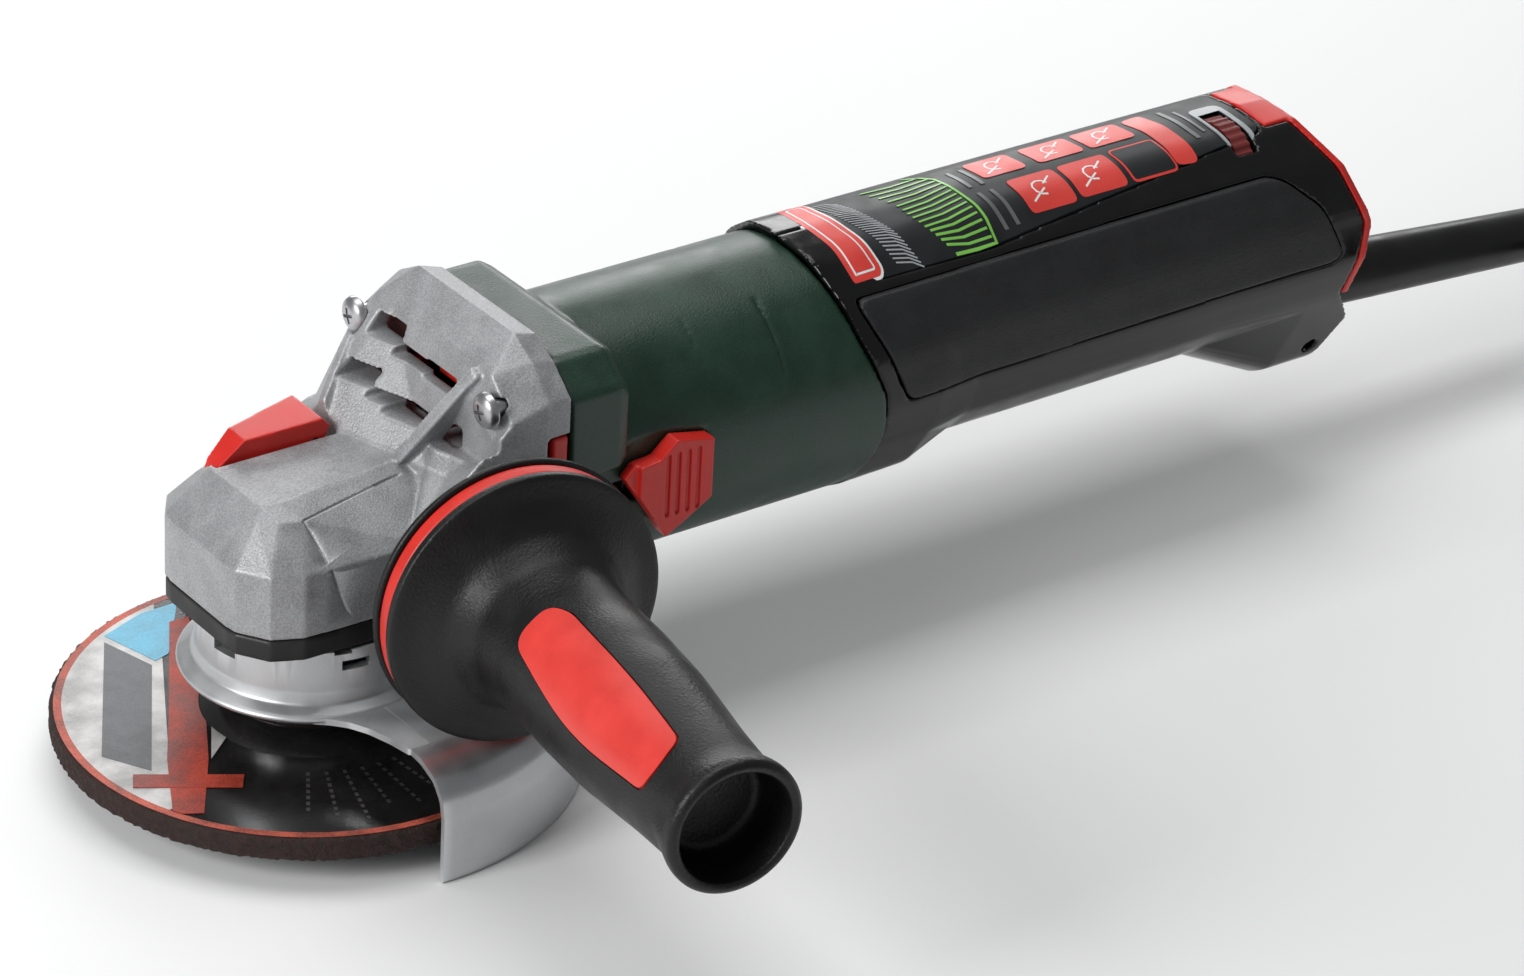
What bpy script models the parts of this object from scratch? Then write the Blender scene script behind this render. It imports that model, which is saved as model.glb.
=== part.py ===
"""Angle grinder for 125 mm discs, as an assembly of its separate pieces.

Frame: +X runs back along the motor axis, the side handle points to -Y, and the disc spindle is vertical.
Sizes are written in millimetres and turned into Blender's metres by MM.
Positions are measured from the spindle axis, at the height of the surface the guard stands on.
"""

import math

import bmesh
import bpy
from mathutils import Matrix, Vector

MM = 0.001
GAP = 0.3  # clearance between touching pieces

# Driving dimensions
DISC_RADIUS = 62.5
DISC_THICKNESS = 6.5
DISC_TOP = 14.0  # height of the disc's upper rim face
GUARD_RADIUS = 67.5
GUARD_SHEET = 1.6
GUARD_SPAN = (-94.0, 86.0)  # degrees from +X that the cover reaches
COLLAR_RADIUS = 27.5
HEAD_BOTTOM = 50.0
HEAD_REAR = 50.0  # joint between gear housing and motor housing
MOTOR_Z = 71.0
STATOR_RADIUS = 28.2
PINION_TEETH = 10
CROWN_TEETH = 31
GEAR_MODULE = 1.4
SIDE_HANDLE_AT = (20.9, -60.6, 63.5)  # centre of the hand flange's outer face
SIDE_HANDLE_LEAN = 7.56  # degrees that the side handle leans forward
SIDE_FLANGE_RADIUS = 35.0
SIDE_HANDLE_LENGTH = 104.0
WHEEL_AXIS = (-5.5, 93.3)  # y and z of the speed wheel
BADGE_ANGLE = 138.0  # degrees round the grip, from its rear side over the top
SLEEVE_START = (303.0, 0.0, 47.6)
SLEEVE_END = (401.0, 0.0, 38.8)
CORD_RADIUS = 4.5
COIL_CENTRE = (514.0, -62.0)
COIL_INNER = 38.0  # three turns side by side
COIL_OUTER = 66.0
COIL_HEIGHT = 36.5  # four layers
ENTRY_BACK = 36.0  # how far before the coil's middle the cord reaches its outer form
EXIT_BACK = 36.0
PLUG_RADIUS = 18.5
PLUG_BACK = 440.0  # where the cord enters the plug

# The origin is the middle of the box around the tool without its cord, on the standing surface
BOX_X = (-DISC_RADIUS, 401.65)
BOX_Y = (-165.72, 67.33)

FINISHES = {
    "cast_aluminium": ((0.62, 0.63, 0.64), 0.45, 0.9),
    "steel": ((0.55, 0.55, 0.56), 0.35, 1.0),
    "guard_steel": ((0.70, 0.71, 0.72), 0.4, 1.0),
    "copper": ((0.60, 0.28, 0.14), 0.4, 1.0),
    "black_paint": ((0.02, 0.02, 0.02), 0.5, 0.0),
    "black_plastic": ((0.02, 0.02, 0.022), 0.4, 0.0),
    "soft_grip": ((0.06, 0.06, 0.065), 0.75, 0.0),
    "green_plastic": ((0.03, 0.10, 0.07), 0.4, 0.0),
    "red_plastic": ((0.75, 0.07, 0.05), 0.4, 0.0),
    "label_print": ((0.03, 0.04, 0.05), 0.35, 0.0),
    "abrasive": ((0.12, 0.05, 0.04), 0.9, 0.0),
    "rubber": ((0.02, 0.02, 0.02), 0.6, 0.0),
    "brass": ((0.70, 0.52, 0.25), 0.3, 1.0),
}


def start_scene():
    """Empties the scene, then makes the two collections, the finishes and the empty that carries
    every piece."""
    for old in list(bpy.data.objects):
        bpy.data.objects.remove(old)
    groups = {}
    for name in ("angle_grinder", "cutters"):
        groups[name] = bpy.data.collections.new(name)
        bpy.context.scene.collection.children.link(groups[name])
    groups["cutters"].hide_render = True
    origin = bpy.data.objects.new("grinder_origin", None)
    origin.location = (-sum(BOX_X) / 2 * MM, -sum(BOX_Y) / 2 * MM, 0)
    groups["angle_grinder"].objects.link(origin)
    finishes = {}
    for name, (color, roughness, metallic) in FINISHES.items():
        finish = bpy.data.materials.new(name)
        finish.use_nodes = True
        shader = finish.node_tree.nodes["Principled BSDF"]
        shader.inputs["Base Color"].default_value = (*color, 1)
        shader.inputs["Roughness"].default_value = roughness
        shader.inputs["Metallic"].default_value = metallic
        finishes[name] = finish
    return groups, origin, finishes


GROUPS, ORIGIN, MATERIALS = start_scene()


# ---------------------------------------------------------------- shape helpers


def add(name, mesh, finish=None):
    """An object for this mesh: a part with its finish, or a cutter when there is none."""
    part = bpy.data.objects.new(name, mesh)
    part.parent = ORIGIN
    if finish is None:
        GROUPS["cutters"].objects.link(part)
        part.hide_render = True
        part.display_type = "WIRE"
    else:
        GROUPS["angle_grinder"].objects.link(part)
        mesh.materials.append(MATERIALS[finish])
        mesh.shade_smooth()
        mesh.set_sharp_from_angle(angle=math.radians(35))
    return part


def to_mesh(name, shape):
    bmesh.ops.recalc_face_normals(shape, faces=shape.faces[:])
    mesh = bpy.data.meshes.new(name)
    shape.to_mesh(mesh)
    shape.free()
    return mesh


def block(name, low, high, finish=None):
    """A box between two corners."""
    shape = bmesh.new()
    bmesh.ops.create_cube(shape, size=1)
    low, high = Vector(low) * MM, Vector(high) * MM
    bmesh.ops.scale(shape, vec=high - low, verts=shape.verts)
    bmesh.ops.translate(shape, vec=(low + high) / 2, verts=shape.verts)
    return add(name, to_mesh(name, shape), finish)


def rod(name, start, end, radius, finish=None, end_radius=None, sides=24):
    """A cylinder or cone between two points."""
    start, end = Vector(start) * MM, Vector(end) * MM
    shape = bmesh.new()
    bmesh.ops.create_cone(
        shape,
        cap_ends=True,
        segments=sides,
        radius1=radius * MM,
        radius2=(radius if end_radius is None else end_radius) * MM,
        depth=(end - start).length,
    )
    turn = (end - start).to_track_quat("Z", "Y").to_matrix().to_4x4()
    place = Matrix.Translation((start + end) / 2) @ turn
    bmesh.ops.transform(shape, matrix=place, verts=shape.verts)
    return add(name, to_mesh(name, shape), finish)


def turned(name, profile, finish=None, place=None, steps=32, angle=360.0, closed=True):
    """A profile of (radius, height) points turned about Z, then placed. It runs down its outer side."""
    shape = bmesh.new()
    points = [shape.verts.new((r * MM, 0, z * MM)) for r, z in profile]
    for first, second in zip(points, points[1:]):
        shape.edges.new((first, second))
    if closed:
        shape.edges.new((points[-1], points[0]))
    mesh = bpy.data.meshes.new(name)
    shape.to_mesh(mesh)
    shape.free()
    part = add(name, mesh, finish)
    part.matrix_local = place or Matrix.Identity(4)
    screw = part.modifiers.new("turn", "SCREW")
    screw.angle = math.radians(angle)
    screw.steps = screw.render_steps = steps
    screw.use_merge_vertices = True
    screw.merge_threshold = 0.00001
    screw.use_smooth_shade = True
    return part


def set_origin(part, point):
    """Moves the part's own origin to this point on its joint's axis. The shape stays where it is."""
    shift = Vector(point) * MM
    part.data.transform(Matrix.Translation(-shift))
    part.location = shift
    return part


def solid_of(part):
    """The part with its modifiers applied, for a cut that comes after them."""
    bpy.context.view_layer.update()
    graph = bpy.context.evaluated_depsgraph_get()
    mesh = bpy.data.meshes.new_from_object(part.evaluated_get(graph))
    shape = bmesh.new()
    shape.from_mesh(mesh)
    bmesh.ops.remove_doubles(shape, verts=shape.verts, dist=0.000001)
    part.modifiers.clear()
    part.data = to_mesh(part.name, shape)
    return part


PLANES = {
    "Z": Matrix.Identity(4),
    "Y": Matrix(((1, 0, 0, 0), (0, 0, -1, 0), (0, 1, 0, 0), (0, 0, 0, 1))),
    "X": Matrix(((0, 0, 1, 0), (1, 0, 0, 0), (0, 1, 0, 0), (0, 0, 0, 1))),
}


def prism(name, outline, low, high, axis, finish=None):
    """A flat outline made thick from low to high along an axis. It is drawn in X, Y for axis Z,
    X, Z for Y and Y, Z for X."""
    curve = bpy.data.curves.new(name, "CURVE")
    curve.dimensions = "2D"
    curve.fill_mode = "BOTH"
    curve.extrude = (high - low) / 2 * MM
    line = curve.splines.new("POLY")
    line.points.add(len(outline) - 1)
    for point, (u, v) in zip(line.points, outline):
        point.co = (u * MM, v * MM, 0, 1)
    line.use_cyclic_u = True
    guide = bpy.data.objects.new(name + "_outline", curve)
    GROUPS["cutters"].objects.link(guide)
    middle = (low + high) / 2 * MM * (-1 if axis == "Y" else 1)
    place = PLANES[axis] @ Matrix.Translation((0, 0, middle))
    bpy.context.view_layer.update()
    graph = bpy.context.evaluated_depsgraph_get()
    mesh = bpy.data.meshes.new_from_object(guide.evaluated_get(graph))
    bpy.data.objects.remove(guide)
    shape = bmesh.new()
    shape.from_mesh(mesh)
    bmesh.ops.remove_doubles(shape, verts=shape.verts, dist=0.000001)
    bmesh.ops.transform(shape, matrix=place, verts=shape.verts)
    return add(name, to_mesh(name, shape), finish)


def loft(name, rings, finish=None):
    """A closed skin through rings of the same number of points, with a face on each end."""
    shape = bmesh.new()
    rows = [[shape.verts.new(Vector(p) * MM) for p in ring] for ring in rings]
    count = len(rows[0])
    for row, following in zip(rows, rows[1:]):
        for i in range(count):
            j = (i + 1) % count
            shape.faces.new((row[i], row[j], following[j], following[i]))
    shape.faces.new(rows[0][::-1])
    shape.faces.new(rows[-1])
    # the long faces can be twisted, and a Boolean wants flat ones
    bmesh.ops.triangulate(shape, faces=[f for f in shape.faces if len(f.verts) == 4])
    return add(name, to_mesh(name, shape), finish)


def closed_loops(name, loops, finish=None):
    """A ring-shaped skin through closed loops, the last joined to the first."""
    shape = bmesh.new()
    rows = [[shape.verts.new(Vector(p) * MM) for p in loop] for loop in loops]
    for row, following in zip(rows, rows[1:] + rows[:1]):
        for i in range(len(row)):
            j = (i + 1) % len(row)
            shape.faces.new((row[i], row[j], following[j], following[i]))
    return add(name, to_mesh(name, shape), finish)


def tube(name, points, radius, finish, resolution=2):
    """A round tube along points, with its ends closed."""
    curve = bpy.data.curves.new(name, "CURVE")
    curve.dimensions = "3D"
    curve.bevel_depth = radius * MM
    curve.bevel_resolution = resolution
    curve.use_fill_caps = True
    line = curve.splines.new("POLY")
    line.points.add(len(points) - 1)
    for point, place in zip(line.points, points):
        point.co = (*(Vector(place) * MM), 1)
    part = bpy.data.objects.new(name, curve)
    part.parent = ORIGIN
    GROUPS["angle_grinder"].objects.link(part)
    curve.materials.append(MATERIALS[finish])
    return part


def bezier(first, second, third, fourth, count):
    """Points along one cubic curve."""
    corners = [Vector(p) for p in (first, second, third, fourth)]
    points = []
    for i in range(count):
        t = i / (count - 1)
        shares = ((1 - t) ** 3, 3 * t * (1 - t) ** 2, 3 * t * t * (1 - t), t**3)
        points.append(sum((c * w for c, w in zip(corners, shares)), Vector()))
    return points


def boolean(part, operation, *others):
    for other in others:
        step = part.modifiers.new(other.name, "BOOLEAN")
        step.operation = operation
        step.object = other
        step.solver = "EXACT"
    return part


def cut(part, *cutters):
    return boolean(part, "DIFFERENCE", *cutters)


def join(part, *others):
    return boolean(part, "UNION", *others)


def keep(part, *others):
    return boolean(part, "INTERSECT", *others)


def mirrored(points):
    """Outline of (y, z) points for y above zero, from top to bottom, and the same mirrored."""
    return list(points) + [(-y, z) for y, z in reversed(points) if y > 0.01]


def inset(outline, distance):
    """The outline moved inwards by a distance, each corner along its mitre."""
    moved = []
    count = len(outline)
    area = sum(
        outline[i][0] * outline[(i + 1) % count][1] - outline[(i + 1) % count][0] * outline[i][1]
        for i in range(count)
    )
    side = 1 if area > 0 else -1
    for i, point in enumerate(outline):
        before, here, after = Vector(outline[i - 1]), Vector(point), Vector(outline[(i + 1) % count])
        first, second = (here - before).normalized(), (after - here).normalized()
        normals = Vector((-first.y, first.x)) * side, Vector((-second.y, second.x)) * side
        mitre = (normals[0] + normals[1]).normalized()
        moved.append(tuple(here + mitre * distance / max(0.5, mitre.dot(normals[0]))))
    return moved


def along_x(x, z=MOTOR_Z, y=0.0):
    """Places a turned piece with its axis along +X, starting at x."""
    return Matrix.Translation(Vector((x, y, z)) * MM) @ PLANES["X"]


def ring_profile(inner, outer, low, high):
    return [(outer, high), (outer, low), (inner, low), (inner, high)]


# ---------------------------------------------------------------- gear head

NOSE = [(-31, -13), (-30.5, -16), (-25.5, -23.5), (-18, -26.8), (14, -28), (24, -31.5), (44, -33)]
NOSE_MID = [(-23, -9), (-22.5, -12.5), (-19, -16.5), (-13, -17.6), (10, -12), (22, -9.5), (44, -9.5)]
NOSE_TOP = [(-20.5, -8), (-20, -11), (-16, -11.8), (-8, -10.8), (10, -8.2), (22, -6.4), (44, -6.4)]
# the far side's slopes are plainer, as the lever sits there
FAR_MID = [(-23, 9.8), (-22.4, 12.8), (-18.6, 17.4), (-13.2, 20.1), (10.8, 21.5), (20.8, 23.8), (44, 24.1)]
FAR_TOP = [(-21, 9), (-20.5, 12), (-17, 16), (-12, 18.5), (10, 20), (20, 22), (44, 22)]
NOSE_TOP_Z = 78.5
NOSE_MID_Z = 76.3
NOSE_WALL_Z = 67.0
SCREW_PLACES = [(28.6, 98.5), (-28.6, 98.5), (27.5, 47.5), (-27.5, 47.5)]
LEVER_FLOOR = 74.5
LEVER_PIVOT = (8.8, 76.75)
# the two stepped air openings, each as blocks of lowest and highest y, then lowest and highest z
VENTS = [
    [(10, 20.5, 97.6, 102.6), (-2, 11, 95.6, 98.8), (-13.6, -1, 95, 99.4)],
    [(10.5, 20.5, 88, 92.5), (4, 11, 86, 88.6), (-9.2, 5, 84.4, 88.9)],
]
CROWN_RADIUS = CROWN_TEETH * GEAR_MODULE / 2
PINION_RADIUS = PINION_TEETH * GEAR_MODULE / 2


def both_sides(outline):
    return outline + [(x, -y) for x, y in reversed(outline)]


def stud_point(inward, side):
    """A point on the side handle's axis, this far inside the hand flange's face, or its mirror
    image on the +Y side."""
    lean = math.radians(SIDE_HANDLE_LEAN)
    x, y, z = SIDE_HANDLE_AT
    return (x + inward * math.sin(lean), -side * (y + inward * math.cos(lean)), z)


def head_rib(name, foot, top):
    """A rib that stands proud of the head's sloping face, from its foot to its top."""
    foot, top = Vector(foot), Vector(top)
    across = (top - foot).cross(Vector((1, 0, 0))).normalized() * 1.7
    outline = [
        foot + Vector((-2.2, 0, 0)),
        top + Vector((-1.6, 0, 0)),
        top + Vector((6, 0, 0)),
        foot + Vector((10, 0, 0)),
    ]
    return loft(name, [[p - across for p in outline], [p + across for p in outline]])


def make_gear_housing():
    levels = [
        (HEAD_BOTTOM + GAP, both_sides(NOSE)),
        (NOSE_WALL_Z, both_sides(NOSE)),
        (NOSE_MID_Z, NOSE_MID + FAR_MID[::-1]),
        (NOSE_TOP_Z, NOSE_TOP + FAR_TOP[::-1]),
    ]
    rings = [[(x, y, z) for x, y in outline] for z, outline in levels]
    housing = loft("gear_housing", rings, "cast_aluminium")
    sections = [
        (11, [(14, 78), (20, 78), (27, 68), (27, 54), (20, 51)]),
        (34, [(18, 105.5), (25, 105.2), (34, 96), (33, 52), (24, 44)]),
        (43, [(20.5, 112), (28.5, 107.5), (36, 100), (35.5, 50), (26, 38)]),
        (49.7, [(20, 110), (28, 106), (35.6, 99.5), (35.3, 49), (26, 36.5)]),
    ]
    # the foot of the sloping face runs askew, so its upper corners lie at their own x
    rear = loft(
        "head_rear_block",
        [
            [(18.7 - 0.342 * y if x == 11 and z == 78 else x, y, z) for y, z in mirrored(half)]
            for x, half in sections
        ],
    )
    join(housing, rear)
    join(housing, head_rib("head_rib_near", (21.2, -7.4, 79), (33.5, -20.5, 104.5)))
    join(housing, head_rib("head_rib_far", (13.4, 17.6, 79), (31.4, 27.4, 100.5)))
    for side in (-1, 1):
        boss = rod(f"head_boss_{side}", stud_point(39, side), stud_point(24, side), 11.5)
        join(housing, boss)
    cutters = [
        rod("gear_cavity", (0, 0, 49), (0, 0, 66.5), 24.4),
        rod("gear_cavity_top", (0, 0, 60), (0, 0, 67.6), 24.2, end_radius=17),
        rod("top_bearing_seat", (0, 0, 60), (0, 0, 74.5), 7.3, sides=16),
        rod("pinion_cavity", (12, 0, MOTOR_Z), (24, 0, MOTOR_Z), 5.5, end_radius=9.4, sides=20),
        rod("pinion_bore", (22.8, 0, MOTOR_Z), (34.5, 0, MOTOR_Z), 9.4, sides=20),
        rod("bearing_seat", (34, 0, MOTOR_Z), (44, 0, MOTOR_Z), 13.05 + GAP),
        prism("air_chamber", inset(mirrored([(24, 105), (31.5, 97), (31, 52), (23, 43)]), 0.0), 42.5, 51,
              "X"),
        block("lever_recess", (-19.5, 11.3, LEVER_FLOOR), (15.0, 45, 100)),
        rod("lock_pin_hole", (-6, 16.5, 60), (-6, 16.5, 76), 2.3, sides=12),
        rod("lock_spring_seat", (-6, 16.5, 68.9), (-6, 16.5, 76), 3.95, sides=16),
        rod("lever_pin_hole", (LEVER_PIVOT[0], 2.2, LEVER_PIVOT[1]), (LEVER_PIVOT[0], 13, LEVER_PIVOT[1]),
            1.4, sides=12),
        rod("flange_clearance", (0, 0, 40), (0, 0, 50.6), 24.9),
        block("air_guide_notch", (43.4, -40, 81), (52.5, -28.7, 90.2)),
    ]
    for index, (y, z) in enumerate(SCREW_PLACES):
        cutters.append(rod(f"screw_bore_{index}", (20, y, z), (51, y, z), 2.3, sides=12))
        cutters.append(rod(f"screw_pocket_{index}", (8, y, z), (31.5, y, z), 5.4, sides=16))
    cutters.append(prism("screw_recess_near",
                         [(-11.4, 83), (-22.7, 105.9), (-34.2, 102.3), (-34.2, 90.3),
                          (-27, 83)], 5, 31.35, "X"))
    cutters.append(prism("vent_chamber", [(29.8, 82.5), (42.6, 82.5), (42.6, 106.5), (37.6, 106.5)], -17,
                         22, "Y"))
    for row, blocks in enumerate(VENTS):
        for index, (y0, y1, z0, z1) in enumerate(blocks):
            cutters.append(block(f"vent_{row}_{index}", (12, y0, z0), (48, y1, z1)))
    for side in (-1, 1):
        cutters.append(rod(f"stud_hole_{side}", stud_point(42, side), stud_point(15, side), 4.3, sides=16))
    return cut(housing, *cutters)


def make_bearing_flange():
    outline = inset([(x, y) for x, y in both_sides(NOSE[:5])], 0.2)
    flange = prism("bearing_flange", outline, 44.2, HEAD_BOTTOM, "Z", "black_paint")
    neck = turned("flange_neck", [(24.6, 47), (24.6, 30.5), (20, 30.5), (20, 47)])
    spigot = rod("flange_spigot", (0, 0, 46), (0, 0, 54), 24.1)
    cutters = [
        rod("lower_bearing_seat", (0, 0, 41), (0, 0, 60), 16 + GAP),
        rod("flange_bore", (0, 0, 20), (0, 0, 60), 12),
    ]
    join(flange, solid_of(neck), spigot)
    return cut(flange, *cutters)


def make_head_screws():
    for index, (y, z) in enumerate(SCREW_PLACES):
        screw = rod(f"gearhead_screw_{index + 1}", (28.6, y, z), (31.2, y, z), 4.6, "steel", sides=16)
        shank = rod(f"screw_shank_{index}", (30, y, z), (47, y, z), 2.0, sides=12)
        socket = rod(f"screw_socket_{index}", (27, y, z), (30.2, y, z), 2.2, sides=6)
        cut(join(screw, shank), socket)


def make_air_guide():
    outline = inset(mirrored([(24, 105), (31.5, 97), (31, 52), (23, 43)]), GAP)
    guide = prism("air_guide", outline, 44.6, 49.4, "X", "red_plastic")
    tab = block("air_guide_tab", (44.6, -35.4, 81.4), (49.4, -30, 89.6))
    opening = rod("air_guide_opening", (40, 0, MOTOR_Z), (52, 0, MOTOR_Z), 26, sides=32)
    join(guide, tab)
    screws = [rod(f"guide_screw_{i}", (40, y, z), (52, y, z), 3, sides=12) for i,
              (y, z) in enumerate(SCREW_PLACES)]
    return cut(guide, opening, *screws)


def make_lever():
    """A wedge that is hinged at its rear end. Its front end lifts."""
    x, z = LEVER_PIVOT
    side = [(-18.6, 75.0), (-17.6, 77.4), (-10.5, 82.6), (10.8, 83.1), (13.1, 80.5), (10.2, 75.1)]
    lever = prism("quick_lever", side, 8.0, 29.0, "Y", "red_plastic")
    pin = rod("lever_pin", (x, 2.5, z), (x, 24, z), 1.1, "steel", sides=12)
    plan = [(-19, 12.6), (-10.5, 12.6), (9.6, 11.8), (16, 11.8), (16, 26.2), (12.2, 26.4), (-11, 20.2),
            (-19, 17.8)]
    keep(lever, prism("lever_plan", plan, 70, 95, "Z"))
    cut(lever, rod("lever_eye", (x, 0, z), (x, 24.3, z), 1.1 + 0.05 + GAP, sides=12))
    set_origin(lever, (x, 0, z))
    set_origin(pin, (x, 0, z))


def make_spindle_lock():
    spring = []
    for i in range(2 * 10 + 1):
        turn = 2 * math.pi * i / 10
        spring.append((-6 + 2.75 * math.cos(turn), 16.5 + 2.75 * math.sin(turn), 69.45 + 3.2 * i / 20))
    tube("lock_spring", spring, 0.3, "steel", resolution=1)
    turned(
        "lock_pin",
        [(0, 74.2), (3.5, 74.2), (3.5, 73.2), (1.9, 73.2), (1.9, 66.6), (0, 66.6)],
        "steel",
        Matrix.Translation(Vector((-6, 16.5, 0)) * MM),
        steps=12,
        closed=False,
    )


def make_gears():
    """Straight bevel gears whose cones meet where the two axes cross."""
    crown_pitch_z = MOTOR_Z - PINION_RADIUS
    depth = 0.9

    def tooth_ring(teeth, radius, phase, top, fraction=0.34):
        """Outline of a gear, as (radius offset, angle) pairs: land, flank, root."""
        points = []
        pitch = 2 * math.pi / teeth
        for i in range(teeth):
            middle = (i + phase) * pitch
            for offset, share in ((0, -0.5), (top, -fraction / 2), (top, fraction / 2), (0, 0.5)):
                points.append((radius + offset, middle + share * pitch * (0.62 if offset == 0 else 1)))
        return points

    # crown: teeth stand up from a cone, big end outside
    base = crown_pitch_z - 6
    rows = []
    for radius, lift in ((CROWN_RADIUS, 1.0), (CROWN_RADIUS * 0.66, 0.7)):
        height = crown_pitch_z + (CROWN_RADIUS - radius) * PINION_RADIUS / CROWN_RADIUS
        row = []
        for offset, angle in tooth_ring(CROWN_TEETH, 0, 0.5, depth * lift):
            row.append((radius * math.cos(angle), radius * math.sin(angle), height - 1.8 + offset))
        rows.append(row)
    angles = [angle for _, angle in tooth_ring(CROWN_TEETH, 0, 0.5, 0)]

    def plain_ring(radius, z):
        return [(radius * math.cos(a), radius * math.sin(a), z) for a in angles]

    hub = 6.0 + GAP
    loops = [plain_ring(hub, base), plain_ring(CROWN_RADIUS, base), *rows, plain_ring(hub, base + 5)]
    crown = closed_loops("crown_gear", loops, "steel")
    for i in range(4):
        angle = math.radians(110 + 90 * i)
        spot = (17.56 * math.cos(angle), 17.56 * math.sin(angle))
        cut(crown, rod(f"lock_hole_{i}", (*spot, 50), (*spot, 75), 2.6, sides=10))

    # pinion: on the motor axis, big end to the rear
    rings = []
    for share, lift in ((0.68, 0.7), (1.0, 1.0)):
        radius = PINION_RADIUS * share
        x = CROWN_RADIUS * share
        ring = []
        for r, angle in tooth_ring(PINION_TEETH, radius - 0.75, 0.0, depth * lift):
            ring.append((x, r * math.sin(angle), MOTOR_Z + r * math.cos(angle)))
        rings.append(ring)
    pinion = loft("pinion_gear", rings, "steel")
    hub = rod("pinion_hub", (CROWN_RADIUS - 1, 0, MOTOR_Z), (33.5, 0, MOTOR_Z), 7.4)
    bore = rod("pinion_shaft_bore", (5, 0, MOTOR_Z), (40, 0, MOTOR_Z), 4.0 + GAP, sides=20)
    set_origin(cut(join(pinion, hub), bore), (0, 0, MOTOR_Z))


def make_spindle():
    profile = [(0, 73), (4.0, 73), (4.0, 66), (6.0, 65), (6.0, 37), (9.0, 37), (9.0, 33.5), (7.0, 33.5),
               (7.0, 4.5), (0, 4.5)]
    turned("spindle", profile, "steel", steps=20, closed=False)
    turned("upper_spindle_bearing", ring_profile(4.0 + GAP, 7.0, 66.8, 73.8), "steel", steps=20)
    turned("lower_spindle_bearing", ring_profile(6.0 + GAP, 16.0, 41.3, 51.0), "steel", steps=24)


def make_disc_stack():
    step = [(20.5, 26), (20.5, 19.2), (10.9, 19.2), (10.9, 13.2), (7.3, 13.2), (7.3, 26)]
    turned("inner_flange", step, "steel", steps=24)
    rim = DISC_TOP - DISC_THICKNESS
    disc = [
        (DISC_RADIUS, DISC_TOP),
        (DISC_RADIUS, rim),
        (24.5, rim),
        (20.5, 12.6),
        (11.2, 12.6),
        (11.2, 18.9),
        (21, 18.9),
        (26, DISC_TOP),
    ]
    turned("grinding_disc", disc, "abrasive", steps=40)
    nut = [(17, 12.3), (19, 10.5), (19, 6.5), (17, 5), (7.3, 5), (7.3, 12.3)]
    turned("clamp_nut", nut, "black_paint", steps=24)


def make_guard():
    """Collar with its lip all round, and a cover over the rear of the disc."""
    inner = COLLAR_RADIUS - GUARD_SHEET
    top = 43.6
    collar = [
        (COLLAR_RADIUS, top),
        (COLLAR_RADIUS, 32),
        (30.6, 28.0),
        (30.6, 26.2),
        (29.4, 26.2),
        (inner, 30.5),
        (inner - 0.9, 31.5),
        (inner - 0.9, top),
    ]
    guard = solid_of(turned("guard", collar, "guard_steel", steps=36))
    radius = GUARD_RADIUS
    cover = [
        (29.5, 28.0),
        (56, 28.0),
        (62.5, 26.2),
        (66.3, 22.2),
        (radius, 17),
        (radius, 0),
        (radius - GUARD_SHEET, 0),
        (radius - GUARD_SHEET, 16.6),
        (64.9, 21.3),
        (61.6, 24.8),
        (55.6, 26.4),
        (29.5, 26.4),
    ]
    turn = Matrix.Rotation(math.radians(GUARD_SPAN[0]), 4, "Z")
    shroud = turned("guard_cover", cover, place=turn, steps=24, angle=GUARD_SPAN[1] - GUARD_SPAN[0])
    shroud = close_ends(solid_of(shroud))
    join(guard, shroud)
    for index, angle in enumerate((191, 262, 20, 100)):
        at = math.radians(angle)
        centre = Vector((math.cos(at), math.sin(at))) * 27
        slot = block(f"guard_slot_{index}", (-4, -3.6, 38.2), (4, 3.6, 40.8))
        slot.data.transform(Matrix.Translation((centre.x * MM, centre.y * MM, 0)) @ Matrix.Rotation(at, 4,
                "Z"))
        cut(guard, slot)
    return guard


def close_ends(part):
    """Fills the two open ends that a part turn leaves."""
    shape = bmesh.new()
    shape.from_mesh(part.data)
    bmesh.ops.holes_fill(shape, edges=[e for e in shape.edges if e.is_boundary], sides=0)
    part.data = to_mesh(part.name, shape)
    return part


# ---------------------------------------------------------------- motor

BOUNDARY = [(133.5, 108), (136, 102.6), (140.4, 87.3), (146.3, 73), (147.5, 62), (143.5, 35)]


def behind(name, shift, reach=400):
    """A cutter that takes everything behind the joint between motor housing and handle."""
    line = [(x + shift, z) for x, z in BOUNDARY]
    return prism(name, line + [(reach, 10), (reach, 130)], -60, 60, "Y")


def before(name, shift):
    line = [(x + shift, z) for x, z in BOUNDARY]
    return prism(name, [(100, 130)] + line + [(100, 10)], -60, 60, "Y")


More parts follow.
